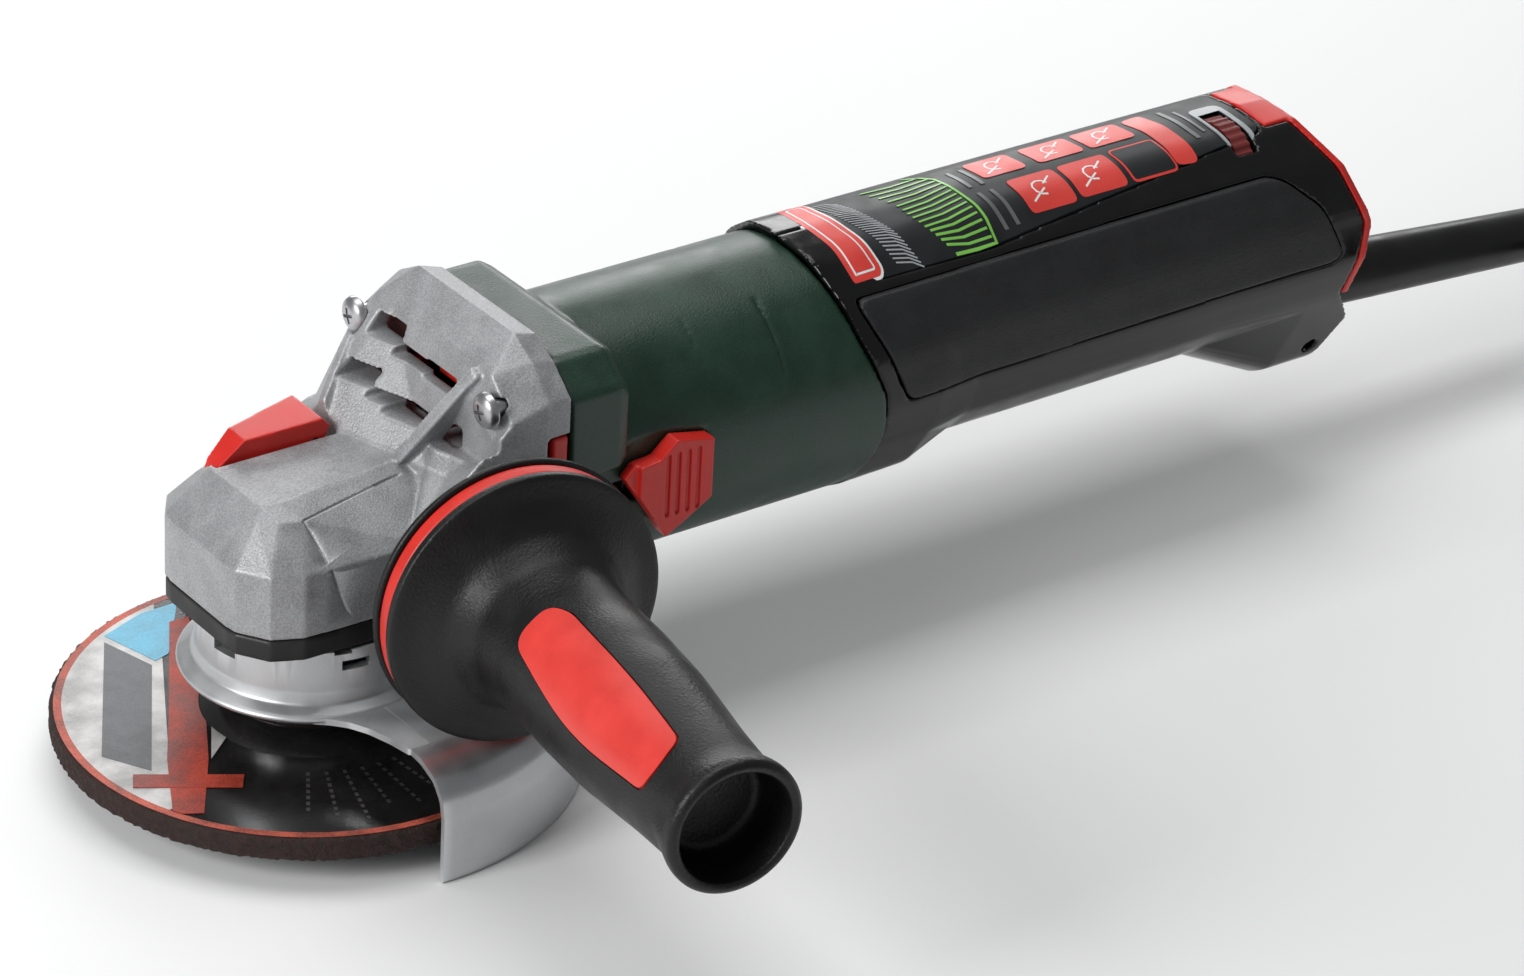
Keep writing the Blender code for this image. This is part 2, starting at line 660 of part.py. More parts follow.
def make_motor_housing():
    collar = mirrored([(26.5, 105.5), (35.3, 98.5), (35.3, 49), (26, 36.3)])
    neck = mirrored([(26.5, 104.6), (34.6, 96.5), (34.4, 50), (26, 36.3)])
    housing = loft(
        "motor_housing",
        [[(x, y, z) for y, z in ring] for x, ring in ((HEAD_REAR, collar), (66, collar), (68, neck))],
        "green_plastic",
    )
    half = [(0, 104), (13, 102.6), (23, 97.8), (30, 89), (33.8, 77), (33.8, 61), (28, 47), (15, 38.2),
            (0, 36.2)]
    tube = loft("motor_tube", [[(x, y, z) for y, z in mirrored(half)] for x in (67, 152)])
    join(housing, tube)
    cutters = [
        rod("stator_bore", (49, 0, MOTOR_Z), (160, 0, MOTOR_Z), STATOR_RADIUS + GAP, sides=40),
        behind("housing_rear_cut", 0),
        slide_recess(),
        block("rod_channel", (60, -30.3, 64.2), (160, -26, 70.3)),
        block("rod_slot", (62.5, -33, 64.2), (92, -29, 70.3)),
    ]
    for index, (y, z) in enumerate(SCREW_PLACES):
        cutters.append(rod(f"housing_screw_{index}", (49, y, z), (60, y, z), 2.3, sides=12))
    return cut(housing, *cutters)


SLIDE_OUTLINE = [(66.5, 72.5), (69.5, 75.5), (75.5, 76.0), (80.5, 80.3), (91.5, 78), (91.5, 62), (83, 57),
                 (78, 54.5), (74.5, 60.5)]
SLIDE_TRAVEL = 9.0


def slide_recess():
    line = inset(SLIDE_OUTLINE, -0.6)
    front = [(x - SLIDE_TRAVEL - 1.0, z) for x, z in line]
    outline = [*front[:4], line[3], line[4], line[5], line[6], line[7], front[7], front[8]]
    return prism("slide_recess", outline, -42, -31.9, "Y")


def make_slide_switch():
    """The red button on the side and the rod that carries its travel back to the power switch."""
    slide = prism("slide_switch", SLIDE_OUTLINE, -37.0, -32.3, "Y", "red_plastic")
    cut(slide, prism("slide_face", [(60, 50), (60, 90), (70, 90), (70, 50)], -42, -35.4, "Y"))
    for index in range(4):
        x = 77.5 + 3.0 * index
        cut(slide, block(f"slide_groove_{index}", (x, -40, 60), (x + 1.2, -36.2, 77)))
    line = [(72, -29.9), (134.5, -29.9), (148, -27), (190, -27), (190, -25.7), (149, -25.7), (135.5, -28.6),
            (72, -28.6)]
    arm = prism("switch_rod", line, 64.7, 69.8, "Z", "black_plastic")
    tab = block("switch_rod_tab", (76, -32.0, 65.2), (84, -29.0, 69.3))
    join(arm, tab)
    set_origin(slide, (80, -34, 67))
    set_origin(arm, (80, -34, 67))


def make_motor():
    turned("rotor_shaft", [(0, 141), (3.6, 141), (3.6, 125), (5, 124), (5, 33.8), (4.0, 33.8), (4.0, 15.5),
                           (0, 15.5)],
           "steel", along_x(0), steps=16, closed=False)
    turned("front_motor_bearing", ring_profile(5 + GAP, 13, 34.5, 42.4), "steel", along_x(0), steps=24)
    turned("rear_motor_bearing", ring_profile(3.6 + GAP, 11, 128.5, 135.3), "steel", along_x(0), steps=24)
    turned("rotor_core", ring_profile(5 + GAP, 15, 72, 117), "steel", along_x(0), steps=24)
    turned("stator_core", ring_profile(16, STATOR_RADIUS, 71, 118), "steel", along_x(0), steps=32)
    for name, low, high in (("front", 64.0, 70.7), ("rear", 118.3, 124.0)):
        turned(f"stator_winding_{name}", ring_profile(17.5, 25.5, low, high), "copper", along_x(0),
               steps=24)
    fan = turned("motor_fan", ring_profile(5 + GAP, 24.5, 60.8, 62.6), "black_plastic", along_x(0),
                 steps=27)
    solid_of(fan)
    star = []
    for blade in range(9):
        for radius, shift in ((9, -13), (24.5, -3.5), (24.5, 3.5), (9, 8)):
            angle = math.radians(blade * 40 + shift)
            star.append((radius * math.cos(angle), MOTOR_Z + radius * math.sin(angle)))
    blades = prism("fan_blades", star, 52.5, 61.5, "X")
    bore = rod("fan_bore", (50, 0, MOTOR_Z), (65, 0, MOTOR_Z), 5 + GAP, sides=20)
    cut(join(fan, blades), bore)
    bracket = turned("rear_bearing_bracket", ring_profile(11 + GAP, STATOR_RADIUS, 126.5, 133),
                     "black_plastic", along_x(0), steps=32)
    solid_of(bracket)
    for i in range(6):
        angle = math.radians(60 * i)
        y, z = 19.5 * math.cos(angle), MOTOR_Z + 19.5 * math.sin(angle)
        cut(bracket, rod(f"bracket_air_hole_{i}", (120, y, z), (140, y, z), 4.6, sides=10))
    cut(bracket, block("bracket_rod_notch", (120, -30, 63.9), (140, -25.2, 70.6)))


# ---------------------------------------------------------------- rear handle

HANDLE_STATIONS = [
    # x, top, half width, bottom, half width of the flat bottom
    (130, 105.9, 34.6, 36.9, 15),
    (165, 105.8, 33.6, 37.8, 15),
    (178, 105.6, 32.0, 43.0, 14),
    (262, 105.6, 31.6, 42.6, 13),
    (292, 105.6, 31.8, 27.8, 10),
    (325, 105.6, 31.8, 27.8, 10),
]
REAR_LINE = [(291, 110), (294.5, 105.3), (301.6, 94.9), (308.6, 79), (305.2, 58.5), (314.5, 46), (308, 24)]
PAD_OUTLINE = [(142, 96), (154, 69.4), (296, 71), (298.5, 73), (291.5, 86.5), (281, 95), (276, 96.5)]
SHELL_WALL = 2.8


def handle_solid(name, smaller=0.0, finish=None):
    """The handle's outer form, or the same form moved inwards."""
    rings = []
    for x, top, wide, bottom, flat in HANDLE_STATIONS:
        half = [
            (0, top),
            (12, top - 1.2),
            (19.8, top - 6.4),
            (25.5, top - 10.5),
            (wide - 1.2, 83),
            (wide, 69.5),
            (wide - 3.5, 58),
            (flat + 5, bottom + 4.5),
            (flat - 3, bottom),
            (0, bottom),
        ]
        rings.append([(x, y, z) for y, z in inset(mirrored(half), smaller)])
    return loft(name, rings, finish)


def rear_cut(name, shift):
    line = [(x + shift, z) for x, z in REAR_LINE]
    return prism(name, line + [(400, 10), (400, 130)], -60, 60, "Y")


def speed_wheel_pocket(name, grow):
    y, z = WHEEL_AXIS
    return rod(name, (272 - grow, y, z), (278 + grow, y, z), 12.8 + grow, sides=32)


def make_handle_shells():
    pockets = []
    for side in (-1, 1):
        pocket = prism(f"pad_pocket_{side}", inset(PAD_OUTLINE, -GAP), 22 if side > 0 else -45,
                       45 if side > 0 else -22, "Y")
        cut(pocket, handle_solid(f"pad_floor_{side}", 1.6))
        pockets.append(pocket)
    panel_pocket = prism("panel_pocket", inset(PANEL_OUTLINE, -GAP), 90, 120, "Z")
    cut(panel_pocket, handle_solid("panel_floor", 1.3))
    inner = handle_solid("handle_inside", SHELL_WALL)
    for name, side in (("left", -1), ("right", 1)):
        shell = handle_solid(f"handle_shell_{name}", 0.0, "black_plastic")
        half = block(f"half_space_{name}", (100, min(side * GAP / 2, side * 80), 0),
                     (400, max(side * GAP / 2, side * 80), 150))
        keep(shell, half)
        cut(
            shell,
            inner,
            before(f"shell_front_{name}", GAP),
            rear_cut(f"shell_rear_{name}", -2.6),
            pockets[0 if side < 0 else 1],
            panel_pocket,
            speed_wheel_pocket(f"wheel_slot_{name}", 0.7),
            rod(f"sleeve_hole_{name}", (290, 0, 48.8), (330, 0, 45.2), 9.2),
            block(f"tab_pocket_{name}", (285, -11.3, 101), (300, 11.3, 120)),
            rod(f"lanyard_hole_{name}", (303.5, -40, 37.5), (303.5, 40, 37.5), 2.2, sides=12),
        )


PANEL_OUTLINE = [(151, 21), (151, -21), (186, -21), (243, -16), (283, -12), (283, 12), (243, 16), (186, 21)]


def make_handle_trim():
    for name, side in (("left", -1), ("right", 1)):
        pad = handle_solid(f"grip_pad_{name}", -0.5, "soft_grip")
        low, high = (22, 45) if side > 0 else (-45, -22)
        keep(pad, prism(f"pad_form_{name}", PAD_OUTLINE, low, high, "Y"))
        cut(pad, handle_solid(f"pad_back_{name}", 1.3))
    panel = handle_solid("top_panel", 0.0, "label_print")
    keep(panel, prism("panel_form", PANEL_OUTLINE, 90, 120, "Z"))
    cut(panel, handle_solid("panel_back", 1.0), speed_wheel_pocket("panel_wheel_slot", 0.7))
    frame = handle_solid("rear_frame", 0.0, "red_plastic")
    cut(frame, rear_cut("frame_rear", 0), handle_solid("frame_window", 4.5))
    line = [(x - 2.3, z) for x, z in REAR_LINE]
    front = prism("frame_front", [(100, 130)] + line + [(100, 10)], -60, 60, "Y")
    cut(front, block("frame_tab", (285.3, -11, 101.3), (300, 11, 120)))
    cut(frame, front, block("frame_bottom", (250, -60, 0), (400, 60, 58)))
    return frame


def make_rear_grille():
    grille = handle_solid("rear_grille", 4.8, "black_plastic")
    line = [(x - 3.2, z) for x, z in REAR_LINE]
    cut(grille, rear_cut("grille_rear", -0.8),
        prism("grille_front", [(100, 130)] + line + [(100, 10)], -60, 60, "Y"))
    cut(grille, block("grille_bottom", (250, -60, 0), (400, 60, 60)))
    for index in range(5):
        z = 65 + 6.2 * index
        cut(grille, block(f"grille_slot_{index}", (280, -18, z), (330, 18, z + 2.6)))
    return grille


def make_speed_wheel():
    y, z = WHEEL_AXIS
    outline = []
    for i in range(36):
        radius = 12.4 if i % 2 else 12.0
        angle = math.radians(10 * i)
        outline.append((y + radius * math.cos(angle), z + radius * math.sin(angle)))
    wheel = prism("speed_wheel", outline, 272.3, 277.7, "X", "black_plastic")
    cut(wheel, rod("wheel_bore", (268, y, z), (282, y, z), 2.6, sides=16))
    shaft = rod("speed_wheel_shaft", (262, y, z), (284, y, z), 2.3, "steel", sides=14)
    for piece in (wheel, shaft):
        set_origin(piece, (275, y, z))


def make_electronics():
    module = block("electronics_module", (152, -16, 53), (236, 18, 82), "black_plastic")
    for index in range(6):
        x = 160 + 12.5 * index
        cut(module, block(f"heat_sink_groove_{index}", (x, -25, 78), (x + 6, 30, 84)))
    for index, x in enumerate((160, 202)):
        rod(f"capacitor_{index + 1}", (x, 12, 90.3), (x + 32, 12, 90.3), 8.0, "steel", sides=20)
    block("power_switch", (190.5, -26.3, 62.2), (212, -18.5, 77), "black_plastic")


def make_cord_clamp():
    clamp = prism("cord_clamp", [(-12, 52.2), (12, 52.2), (12, 56.4), (-12, 56.4)], 284, 292, "X",
                  "black_plastic")
    for index, y in enumerate((-9, 9)):
        cut(clamp, rod(f"clamp_hole_{index}", (288, y, 40), (288, y, 60), 1.9, sides=12))
        screw = rod(f"clamp_screw_{index + 1}", (288, y, 56.7), (288, y, 58.8), 3, "steel", sides=12)
        join(screw, rod(f"clamp_shank_{index}", (288, y, 45), (288, y, 57.5), 1.5, sides=12))
    return clamp


# ---------------------------------------------------------------- side handle


def side_handle_place():
    """Local +Z points out along the side handle, from the hand flange's outer face."""
    lean = math.radians(SIDE_HANDLE_LEAN)
    outward = Vector((-math.sin(lean), -math.cos(lean), 0))
    return Matrix.Translation(Vector(SIDE_HANDLE_AT) * MM) @ outward.to_track_quat("Z",
            "Y").to_matrix().to_4x4()


def grip_profile(smaller=0.0):
    """Outer line of the grip from its open end down to the hand flange."""
    length = SIDE_HANDLE_LENGTH
    line = [(15.4, length), (16.8, length - 1.2), (16.9, length - 3.5), (15.3, length - 10), (16.2, 80),
            (18.4, 58), (18.9, 40), (18.6, 22), (19.4, 12), (23, 5.5), (29, 1.8)]
    return [(r - smaller, z) for r, z in line]


def make_side_handle():
    place = side_handle_place()
    flange = SIDE_FLANGE_RADIUS
    outer = grip_profile() + [(34, 0.6), (flange, 0), (flange, -2.4), (20, -2.4), (4.3, -2.4), (4.3, 40),
                              (0, 40)]
    outer = [(0, 92)] + [(13.2, 92), (13.8, SIDE_HANDLE_LENGTH)] + outer
    grip = turned("side_handle_grip", outer, "soft_grip", place, steps=28, closed=False)
    turned("damper_ring", [(34.2, -2.7), (34.2, -7.2), (12, -7.2), (12, -2.7)], "red_plastic", place,
           steps=28)
    base = [(flange, -7.5), (flange, -9.4), (20, -10.5), (13, -15), (11, -23.6), (4.3, -23.6), (4.3, -7.5)]
    turned("side_handle_base", base, "black_plastic", place, steps=28)
    turned("side_handle_stud", [(0, 36), (4, 36), (4, -36), (0, -36)], "steel", place, steps=16,
           closed=False)
    make_badge(solid_of(grip), place)


def make_badge(grip, place):
    """A red inlay on the upper front of the grip, let into its surface."""
    outline = [(27, -7.5), (27, 4), (58.5, 10), (87, 7), (88.5, 0), (86.5, -7), (62, -9.4), (32.5, -9.8)]
    turn = place @ Matrix.Rotation(math.radians(BADGE_ANGLE), 4, "Z")

    def patch(name, grow, finish=None):
        form = prism(name, inset(outline, -grow), 5, 40, "Z", finish)
        # the outline's first axis runs along the grip, its depth outwards from the grip's axis
        form.data.transform(Matrix(((0, 0, 1, 0), (0, 1, 0, 0), (1, 0, 0, 0), (0, 0, 0, 1))))
        form.data.flip_normals()
        form.matrix_local = turn
        return form

    def core(name, smaller):
        line = [(0, SIDE_HANDLE_LENGTH)] + grip_profile(smaller) + [(0, 1.8)]
        return solid_of(turned(name, line, None, place, steps=28, closed=False))

    badge = patch("side_handle_badge", 0, "red_plastic")
    keep(badge, core("badge_outside", -0.3))
    cut(badge, core("badge_inside", 1.0))
    pocket = patch("badge_pocket", GAP)
    cut(pocket, core("badge_floor", 1.3))
    cut(grip, pocket)
    return badge



# ---------------------------------------------------------------- cord


def make_sleeve():
    return rod("cord_sleeve", SLEEVE_START, SLEEVE_END, 8.6, "rubber", end_radius=7.3, sides=24)


def make_cord():
    """The stretch from the sleeve down to the coil, the coil's outer form, and the stretch from its
    top turn to the plug."""
    x, y = COIL_CENTRE
    start, end = Vector(SLEEVE_START), Vector(SLEEVE_END)
    outward = (end - start).normalized()
    exit_point = end + outward * 0.8
    turn = COIL_OUTER - CORD_RADIUS
    arrive = Vector((x - ENTRY_BACK, y + turn, CORD_RADIUS + 0.1))
    tube("power_cord", bezier(exit_point, exit_point + outward * 34, arrive - Vector((34, 0, 0)), arrive,
                              12),
         CORD_RADIUS, "rubber")
    edge = 3.0
    ring = [
        (COIL_OUTER - edge, COIL_HEIGHT),
        (COIL_OUTER, COIL_HEIGHT - edge),
        (COIL_OUTER, edge),
        (COIL_OUTER - edge, 0),
        (COIL_INNER, 0),
        (COIL_INNER, COIL_HEIGHT),
    ]
    turned("cord_coil", ring, "rubber", Matrix.Translation(Vector((x, y, 0)) * MM), steps=32)
    leave = Vector((x - EXIT_BACK, y - turn, COIL_HEIGHT - CORD_RADIUS))
    plug_end = Vector((PLUG_BACK + 1.2, leave.y, PLUG_RADIUS + 0.1))
    tube("cord_tail", bezier(leave, leave - Vector((22, 0, 0)), plug_end + Vector((22, 0, 0)), plug_end, 8),
         CORD_RADIUS, "rubber")
    facing = Matrix.Translation(Vector((PLUG_BACK, leave.y,
                                        plug_end.z)) * MM) @ Matrix.Rotation(-math.pi / 2, 4, "Y")
    body = [(0, 62), (14.5, 62), (PLUG_RADIUS, 58), (PLUG_RADIUS, 38), (15, 26), (7.5, 17), (6, 0), (0, 0)]
    turned("mains_plug", body, "rubber", facing, steps=24, closed=False)
    for index, side in enumerate((-9.5, 9.5)):
        tip = Vector((PLUG_BACK - 62 - GAP, leave.y + side, plug_end.z))
        rod(f"plug_pin_{index + 1}", tip, tip - Vector((19, 0, 0)), 2.4, "brass", sides=12)


make_gear_housing()
make_bearing_flange()
make_head_screws()
make_air_guide()
make_lever()
make_spindle_lock()
make_gears()
make_spindle()
make_disc_stack()
make_guard()
make_motor_housing()
make_slide_switch()
make_motor()
make_handle_shells()
make_handle_trim()
make_rear_grille()
make_speed_wheel()
make_electronics()
make_cord_clamp()
make_side_handle()
make_sleeve()
make_cord()
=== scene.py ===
import math
import random

import bmesh
import bpy
from mathutils import Matrix, Vector


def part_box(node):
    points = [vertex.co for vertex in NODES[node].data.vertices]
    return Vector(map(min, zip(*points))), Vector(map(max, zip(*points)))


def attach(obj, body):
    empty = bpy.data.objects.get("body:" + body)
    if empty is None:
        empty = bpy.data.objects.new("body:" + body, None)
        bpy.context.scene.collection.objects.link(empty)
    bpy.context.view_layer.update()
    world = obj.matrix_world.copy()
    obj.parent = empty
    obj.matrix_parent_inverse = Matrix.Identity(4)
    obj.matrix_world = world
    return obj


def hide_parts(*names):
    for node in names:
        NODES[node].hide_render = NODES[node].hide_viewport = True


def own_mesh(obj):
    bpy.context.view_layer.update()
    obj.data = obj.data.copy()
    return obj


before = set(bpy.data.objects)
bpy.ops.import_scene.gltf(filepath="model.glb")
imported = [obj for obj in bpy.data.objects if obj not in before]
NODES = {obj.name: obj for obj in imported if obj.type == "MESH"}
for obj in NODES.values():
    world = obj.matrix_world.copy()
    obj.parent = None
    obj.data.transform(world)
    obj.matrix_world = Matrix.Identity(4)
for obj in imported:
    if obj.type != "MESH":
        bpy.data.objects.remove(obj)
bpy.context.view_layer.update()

MM = 0.001
SCENE = bpy.context.scene
spindle_low, spindle_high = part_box("spindle")
# shapes are drawn in millimetres from the spindle's axis, which is X and Y zero
ORIGIN = Vector(((spindle_low.x + spindle_high.x) / 2, (spindle_low.y + spindle_high.y) / 2, 0))
TO_ROW = Matrix.Translation(ORIGIN) @ Matrix.Diagonal((MM, MM, MM, 1))
FROM_ROW = TO_ROW.inverted()


def at(x, y, z):
    return TO_ROW @ Vector((x, y, z))


# ---------------------------------------------------------------- finishes


def srgb(r, g, b):
    """Linear colour of an 8-bit screen colour."""
    return tuple(((c / 255 + 0.055) / 1.055) ** 2.4 if c > 10 else c / 255 / 12.92 for c in (r, g, b))


def scaled(colour, share):
    return tuple(min(1.0, c * share) for c in colour) + (1.0,)


MATERIALS = {}


def finish(name, colour, rough, metal=0.0, mottle=0.06, mottle_size=9.0, speck=0.06, speck_size=0.5,
           grain=0.03, grain_size=0.5, rough_spread=0.06, coat=0.0, wear=0.0,
           stretch=(1, 1, 1), specular=0.5):
    """A finish of one colour with broad and fine variation, surface grain and lighter worn edges.
    Sizes are in mm."""
    made = bpy.data.materials.new(name)
    made.use_nodes = True
    tree = made.node_tree
    shader = tree.nodes["Principled BSDF"]
    shader.inputs["Metallic"].default_value = metal
    shader.inputs["Specular IOR Level"].default_value = specular
    if coat:
        shader.inputs["Coat Weight"].default_value = coat
        shader.inputs["Coat Roughness"].default_value = 0.12
    where = tree.nodes.new("ShaderNodeTexCoord")
    stretched = tree.nodes.new("ShaderNodeMapping")
    stretched.inputs["Scale"].default_value = stretch
    tree.links.new(where.outputs["Object"], stretched.inputs["Vector"])

    def noise_of(size, detail):
        node = tree.nodes.new("ShaderNodeTexNoise")
        node.inputs["Scale"].default_value = 1 / (size * MM)
        node.inputs["Detail"].default_value = detail
        tree.links.new(stretched.outputs[0], node.inputs["Vector"])
        return node.outputs["Fac"]

    def mixed(factor, first, second):
        node = tree.nodes.new("ShaderNodeMix")
        node.data_type = "RGBA"
        tree.links.new(factor, node.inputs["Factor"])
        for socket, value in (("A", first), ("B", second)):
            target = [i for i in node.inputs if i.name == socket and i.type == "RGBA"][0]
            if isinstance(value, tuple):
                target.default_value = value
            else:
                tree.links.new(value, target)
        return [o for o in node.outputs if o.type == "RGBA"][0]

    def ramp(source, low, high):
        node = tree.nodes.new("ShaderNodeMapRange")
        node.inputs["From Min"].default_value = low
        node.inputs["From Max"].default_value = high
        tree.links.new(source, node.inputs["Value"])
        return node

    broad = ramp(noise_of(mottle_size, 3), 0.35, 0.65).outputs[0]
    fine_noise = noise_of(speck_size, 2)
    fine = ramp(fine_noise, 0.35, 0.65).outputs[0]
    base = mixed(broad, scaled(colour, 1 - mottle), scaled(colour, 1 + mottle))
    darker = mixed(broad, scaled(colour, 1 - mottle - speck), scaled(colour, 1 + mottle - speck))
    base = mixed(fine, darker, base)
    if wear:
        shape = tree.nodes.new("ShaderNodeNewGeometry")
        edge = ramp(shape.outputs["Pointiness"], 0.515, 0.56)
        edge.inputs["To Max"].default_value = wear
        pale = tuple(min(1.0, c * 1.25 + 0.14) for c in colour) + (1.0,)
        base = mixed(edge.outputs[0], base, pale)
    tree.links.new(base, shader.inputs["Base Color"])
    roughness = ramp(broad, 0.0, 1.0)
    roughness.inputs["To Min"].default_value = max(0.02, rough - rough_spread)
    roughness.inputs["To Max"].default_value = rough + rough_spread
    tree.links.new(roughness.outputs[0], shader.inputs["Roughness"])
    if grain:
        bump = tree.nodes.new("ShaderNodeBump")
        bump.inputs["Distance"].default_value = grain * MM
        bump.inputs["Strength"].default_value = 1.0
        tree.links.new(noise_of(grain_size, 3), bump.inputs["Height"])
        tree.links.new(bump.outputs[0], shader.inputs["Normal"])
    MATERIALS[name] = made
    return made


finish("cast_aluminium", (0.37, 0.375, 0.385), 0.43, 0.30, mottle=0.09, speck=0.30, speck_size=0.45,
       grain=0.10, grain_size=0.55, wear=0.5)
finish("steel", (0.55, 0.55, 0.56), 0.28, 1.0, mottle=0.05, grain=0.01, wear=0.4)
finish("screw_steel", (0.50, 0.50, 0.51), 0.36, 1.0, mottle=0.05, grain=0.008)
finish("guard_steel", (0.56, 0.57, 0.58), 0.44, 0.85, mottle=0.04, speck=0.04, grain=0.02, grain_size=0.4,
       wear=0.6)
finish("copper", (0.60, 0.27, 0.13), 0.35, 1.0, stretch=(1, 1, 1), grain=0.25, grain_size=0.9)
finish("black_paint", (0.004, 0.004, 0.0045), 0.45, 0.0, grain=0.03, wear=0.15)
finish("black_plastic", (0.006, 0.006, 0.0065), 0.34, 0.0, specular=0.35, mottle=0.15, grain=0.05,
       grain_size=0.6)
finish("gloss_black", (0.003, 0.003, 0.0035), 0.2, 0.0, specular=0.4, mottle=0.1, grain=0.004)
finish("grip_black", (0.006, 0.006, 0.0065), 0.42, 0.0, specular=0.35, mottle=0.15, grain=0.16,
       grain_size=0.75)
finish("soft_grip", (0.016, 0.0165, 0.018), 0.5, 0.0, specular=0.4, mottle=0.12, speck=0.25, speck_size=0.6,
       grain=0.15, grain_size=0.6)
finish("green_plastic", srgb(24, 55, 42), 0.34, 0.0, mottle=0.10, speck=0.24, speck_size=0.5,
       grain=0.07, grain_size=0.55, wear=0.1)
finish("red_plastic", srgb(205, 38, 30), 0.36, 0.0, mottle=0.05, grain=0.03)
finish("coral_print", srgb(214, 60, 52), 0.35, 0.0, mottle=0.05, grain=0.02)
finish("wheel_red", srgb(112, 34, 32), 0.5, 0.0, mottle=0.1, grain=0.03)
finish("damper_red", srgb(205, 40, 30), 0.45, 0.0, grain=0.03)
finish("label_print", (0.007, 0.009, 0.011), 0.42, 0.0, mottle=0.12, grain=0.004, specular=0.3)
finish("print_grey", (0.34, 0.36, 0.37), 0.35, 0.0, grain=0.005)
finish("print_dark_grey", (0.10, 0.105, 0.11), 0.32, 0.0, grain=0.005)
finish("print_white", (0.80, 0.80, 0.79), 0.35, 0.0, grain=0.005)
finish("print_green", srgb(120, 188, 78), 0.35, 0.0, grain=0.005)
finish("abrasive", (0.032, 0.014, 0.011), 0.85, 0.0, mottle=0.25, mottle_size=2.2, speck=0.5,
       speck_size=0.35,
       grain=0.5, grain_size=0.7)
finish("disc_print_black", (0.014, 0.013, 0.013), 0.16, 0.0, mottle=0.2, speck=0.3, speck_size=0.8,
       grain=0.03, grain_size=0.7)
finish("disc_print_silver", (0.50, 0.49, 0.48), 0.38, 0.2, mottle=0.28, speck=0.12, grain=0.03,
       grain_size=0.7)
finish("disc_print_blue", srgb(96, 176, 206), 0.35, 0.0, mottle=0.12, speck=0.2, grain=0.03, grain_size=0.7)
finish("disc_print_grey", (0.095, 0.10, 0.11), 0.34, 0.0, mottle=0.2, speck=0.25, grain=0.03,
       grain_size=0.7)
finish("disc_print_faint", (0.045, 0.043, 0.042), 0.4, 0.0, mottle=0.3, speck=0.3)
finish("disc_print_orange", srgb(168, 56, 36), 0.45, 0.0, mottle=0.3, speck=0.45, grain=0.03,
       grain_size=0.7)
finish("disc_print_salmon", srgb(190, 88, 68), 0.5, 0.0, mottle=0.3, speck=0.45, grain=0.03, grain_size=0.7)
finish("rubber", (0.006, 0.006, 0.006), 0.34, 0.0, specular=0.4, mottle=0.15, grain=0.02, grain_size=0.5)
finish("brass", (0.72, 0.55, 0.28), 0.25, 1.0, grain=0.01)
finish("capacitor_sleeve", (0.03, 0.05, 0.14), 0.3, 0.0, grain=0.01)
finish("laminations", (0.34, 0.34, 0.35), 0.4, 1.0, stretch=(8, 1, 1), mottle=0.25, mottle_size=4,
       grain=0.12,
       grain_size=4)

# ---------------------------------------------------------------- shapes


def solid(shape, name="shape"):
    """An object for a bmesh in millimetres, its faces turned outwards."""
    bmesh.ops.remove_doubles(shape, verts=shape.verts, dist=0.0005)
    bmesh.ops.recalc_face_normals(shape, faces=shape.faces[:])
    mesh = bpy.data.meshes.new(name)
    shape.to_mesh(mesh)
    shape.free()
    made = bpy.data.objects.new(name, mesh)
    SCENE.collection.objects.link(made)
    return made


def cad(node):
    """A copy of a CAD node's mesh, to cut and round."""
    shape = bmesh.new()
    shape.from_mesh(NODES[node].data)
    bmesh.ops.transform(shape, matrix=FROM_ROW, verts=shape.verts)
    return solid(shape, node + "_form")


def applied(obj):
    bpy.context.view_layer.update()
    graph = bpy.context.evaluated_depsgraph_get()
    mesh = bpy.data.meshes.new_from_object(obj.evaluated_get(graph))
    obj.modifiers.clear()
    obj.data = mesh
    return obj


def boolean(obj, operation, *others):
    for other in others:
        step = obj.modifiers.new("step", "BOOLEAN")
        step.operation, step.object, step.solver = operation, other, "EXACT"
    applied(obj)
    for other in others:
        bpy.data.objects.remove(other)
    return obj


def cut(obj, *others):
    return boolean(obj, "DIFFERENCE", *others)


def join(obj, *others):
    return boolean(obj, "UNION", *others)


def keep(obj, *others):
    return boolean(obj, "INTERSECT", *others)


def softened(obj, voxel, smooth, ratio=1.0):
    """The same form with every edge slightly round, as a casting or moulding has."""
    step = obj.modifiers.new("voxels", "REMESH")
    step.mode, step.voxel_size = "VOXEL", voxel
    step = obj.modifiers.new("smooth", "SMOOTH")
    step.factor, step.iterations = 0.5, smooth
    if ratio < 1:
        obj.modifiers.new("fewer", "DECIMATE").ratio = ratio
    return applied(obj)


def piece(name, obj, body, look, slot, *nodes, angle=None):
    """Puts a finished form in the row frame, with its look and body. Its slot is not used."""
    obj.name = obj.data.name = name
    obj.data.transform(TO_ROW)
    obj.data.materials.clear()
    obj.data.materials.append(MATERIALS[look])
    obj.data.shade_smooth()
    if angle is not None:
        obj.data.set_sharp_from_angle(angle=math.radians(angle))
    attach(obj, body)
    if nodes:
        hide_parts(*nodes)
    return obj


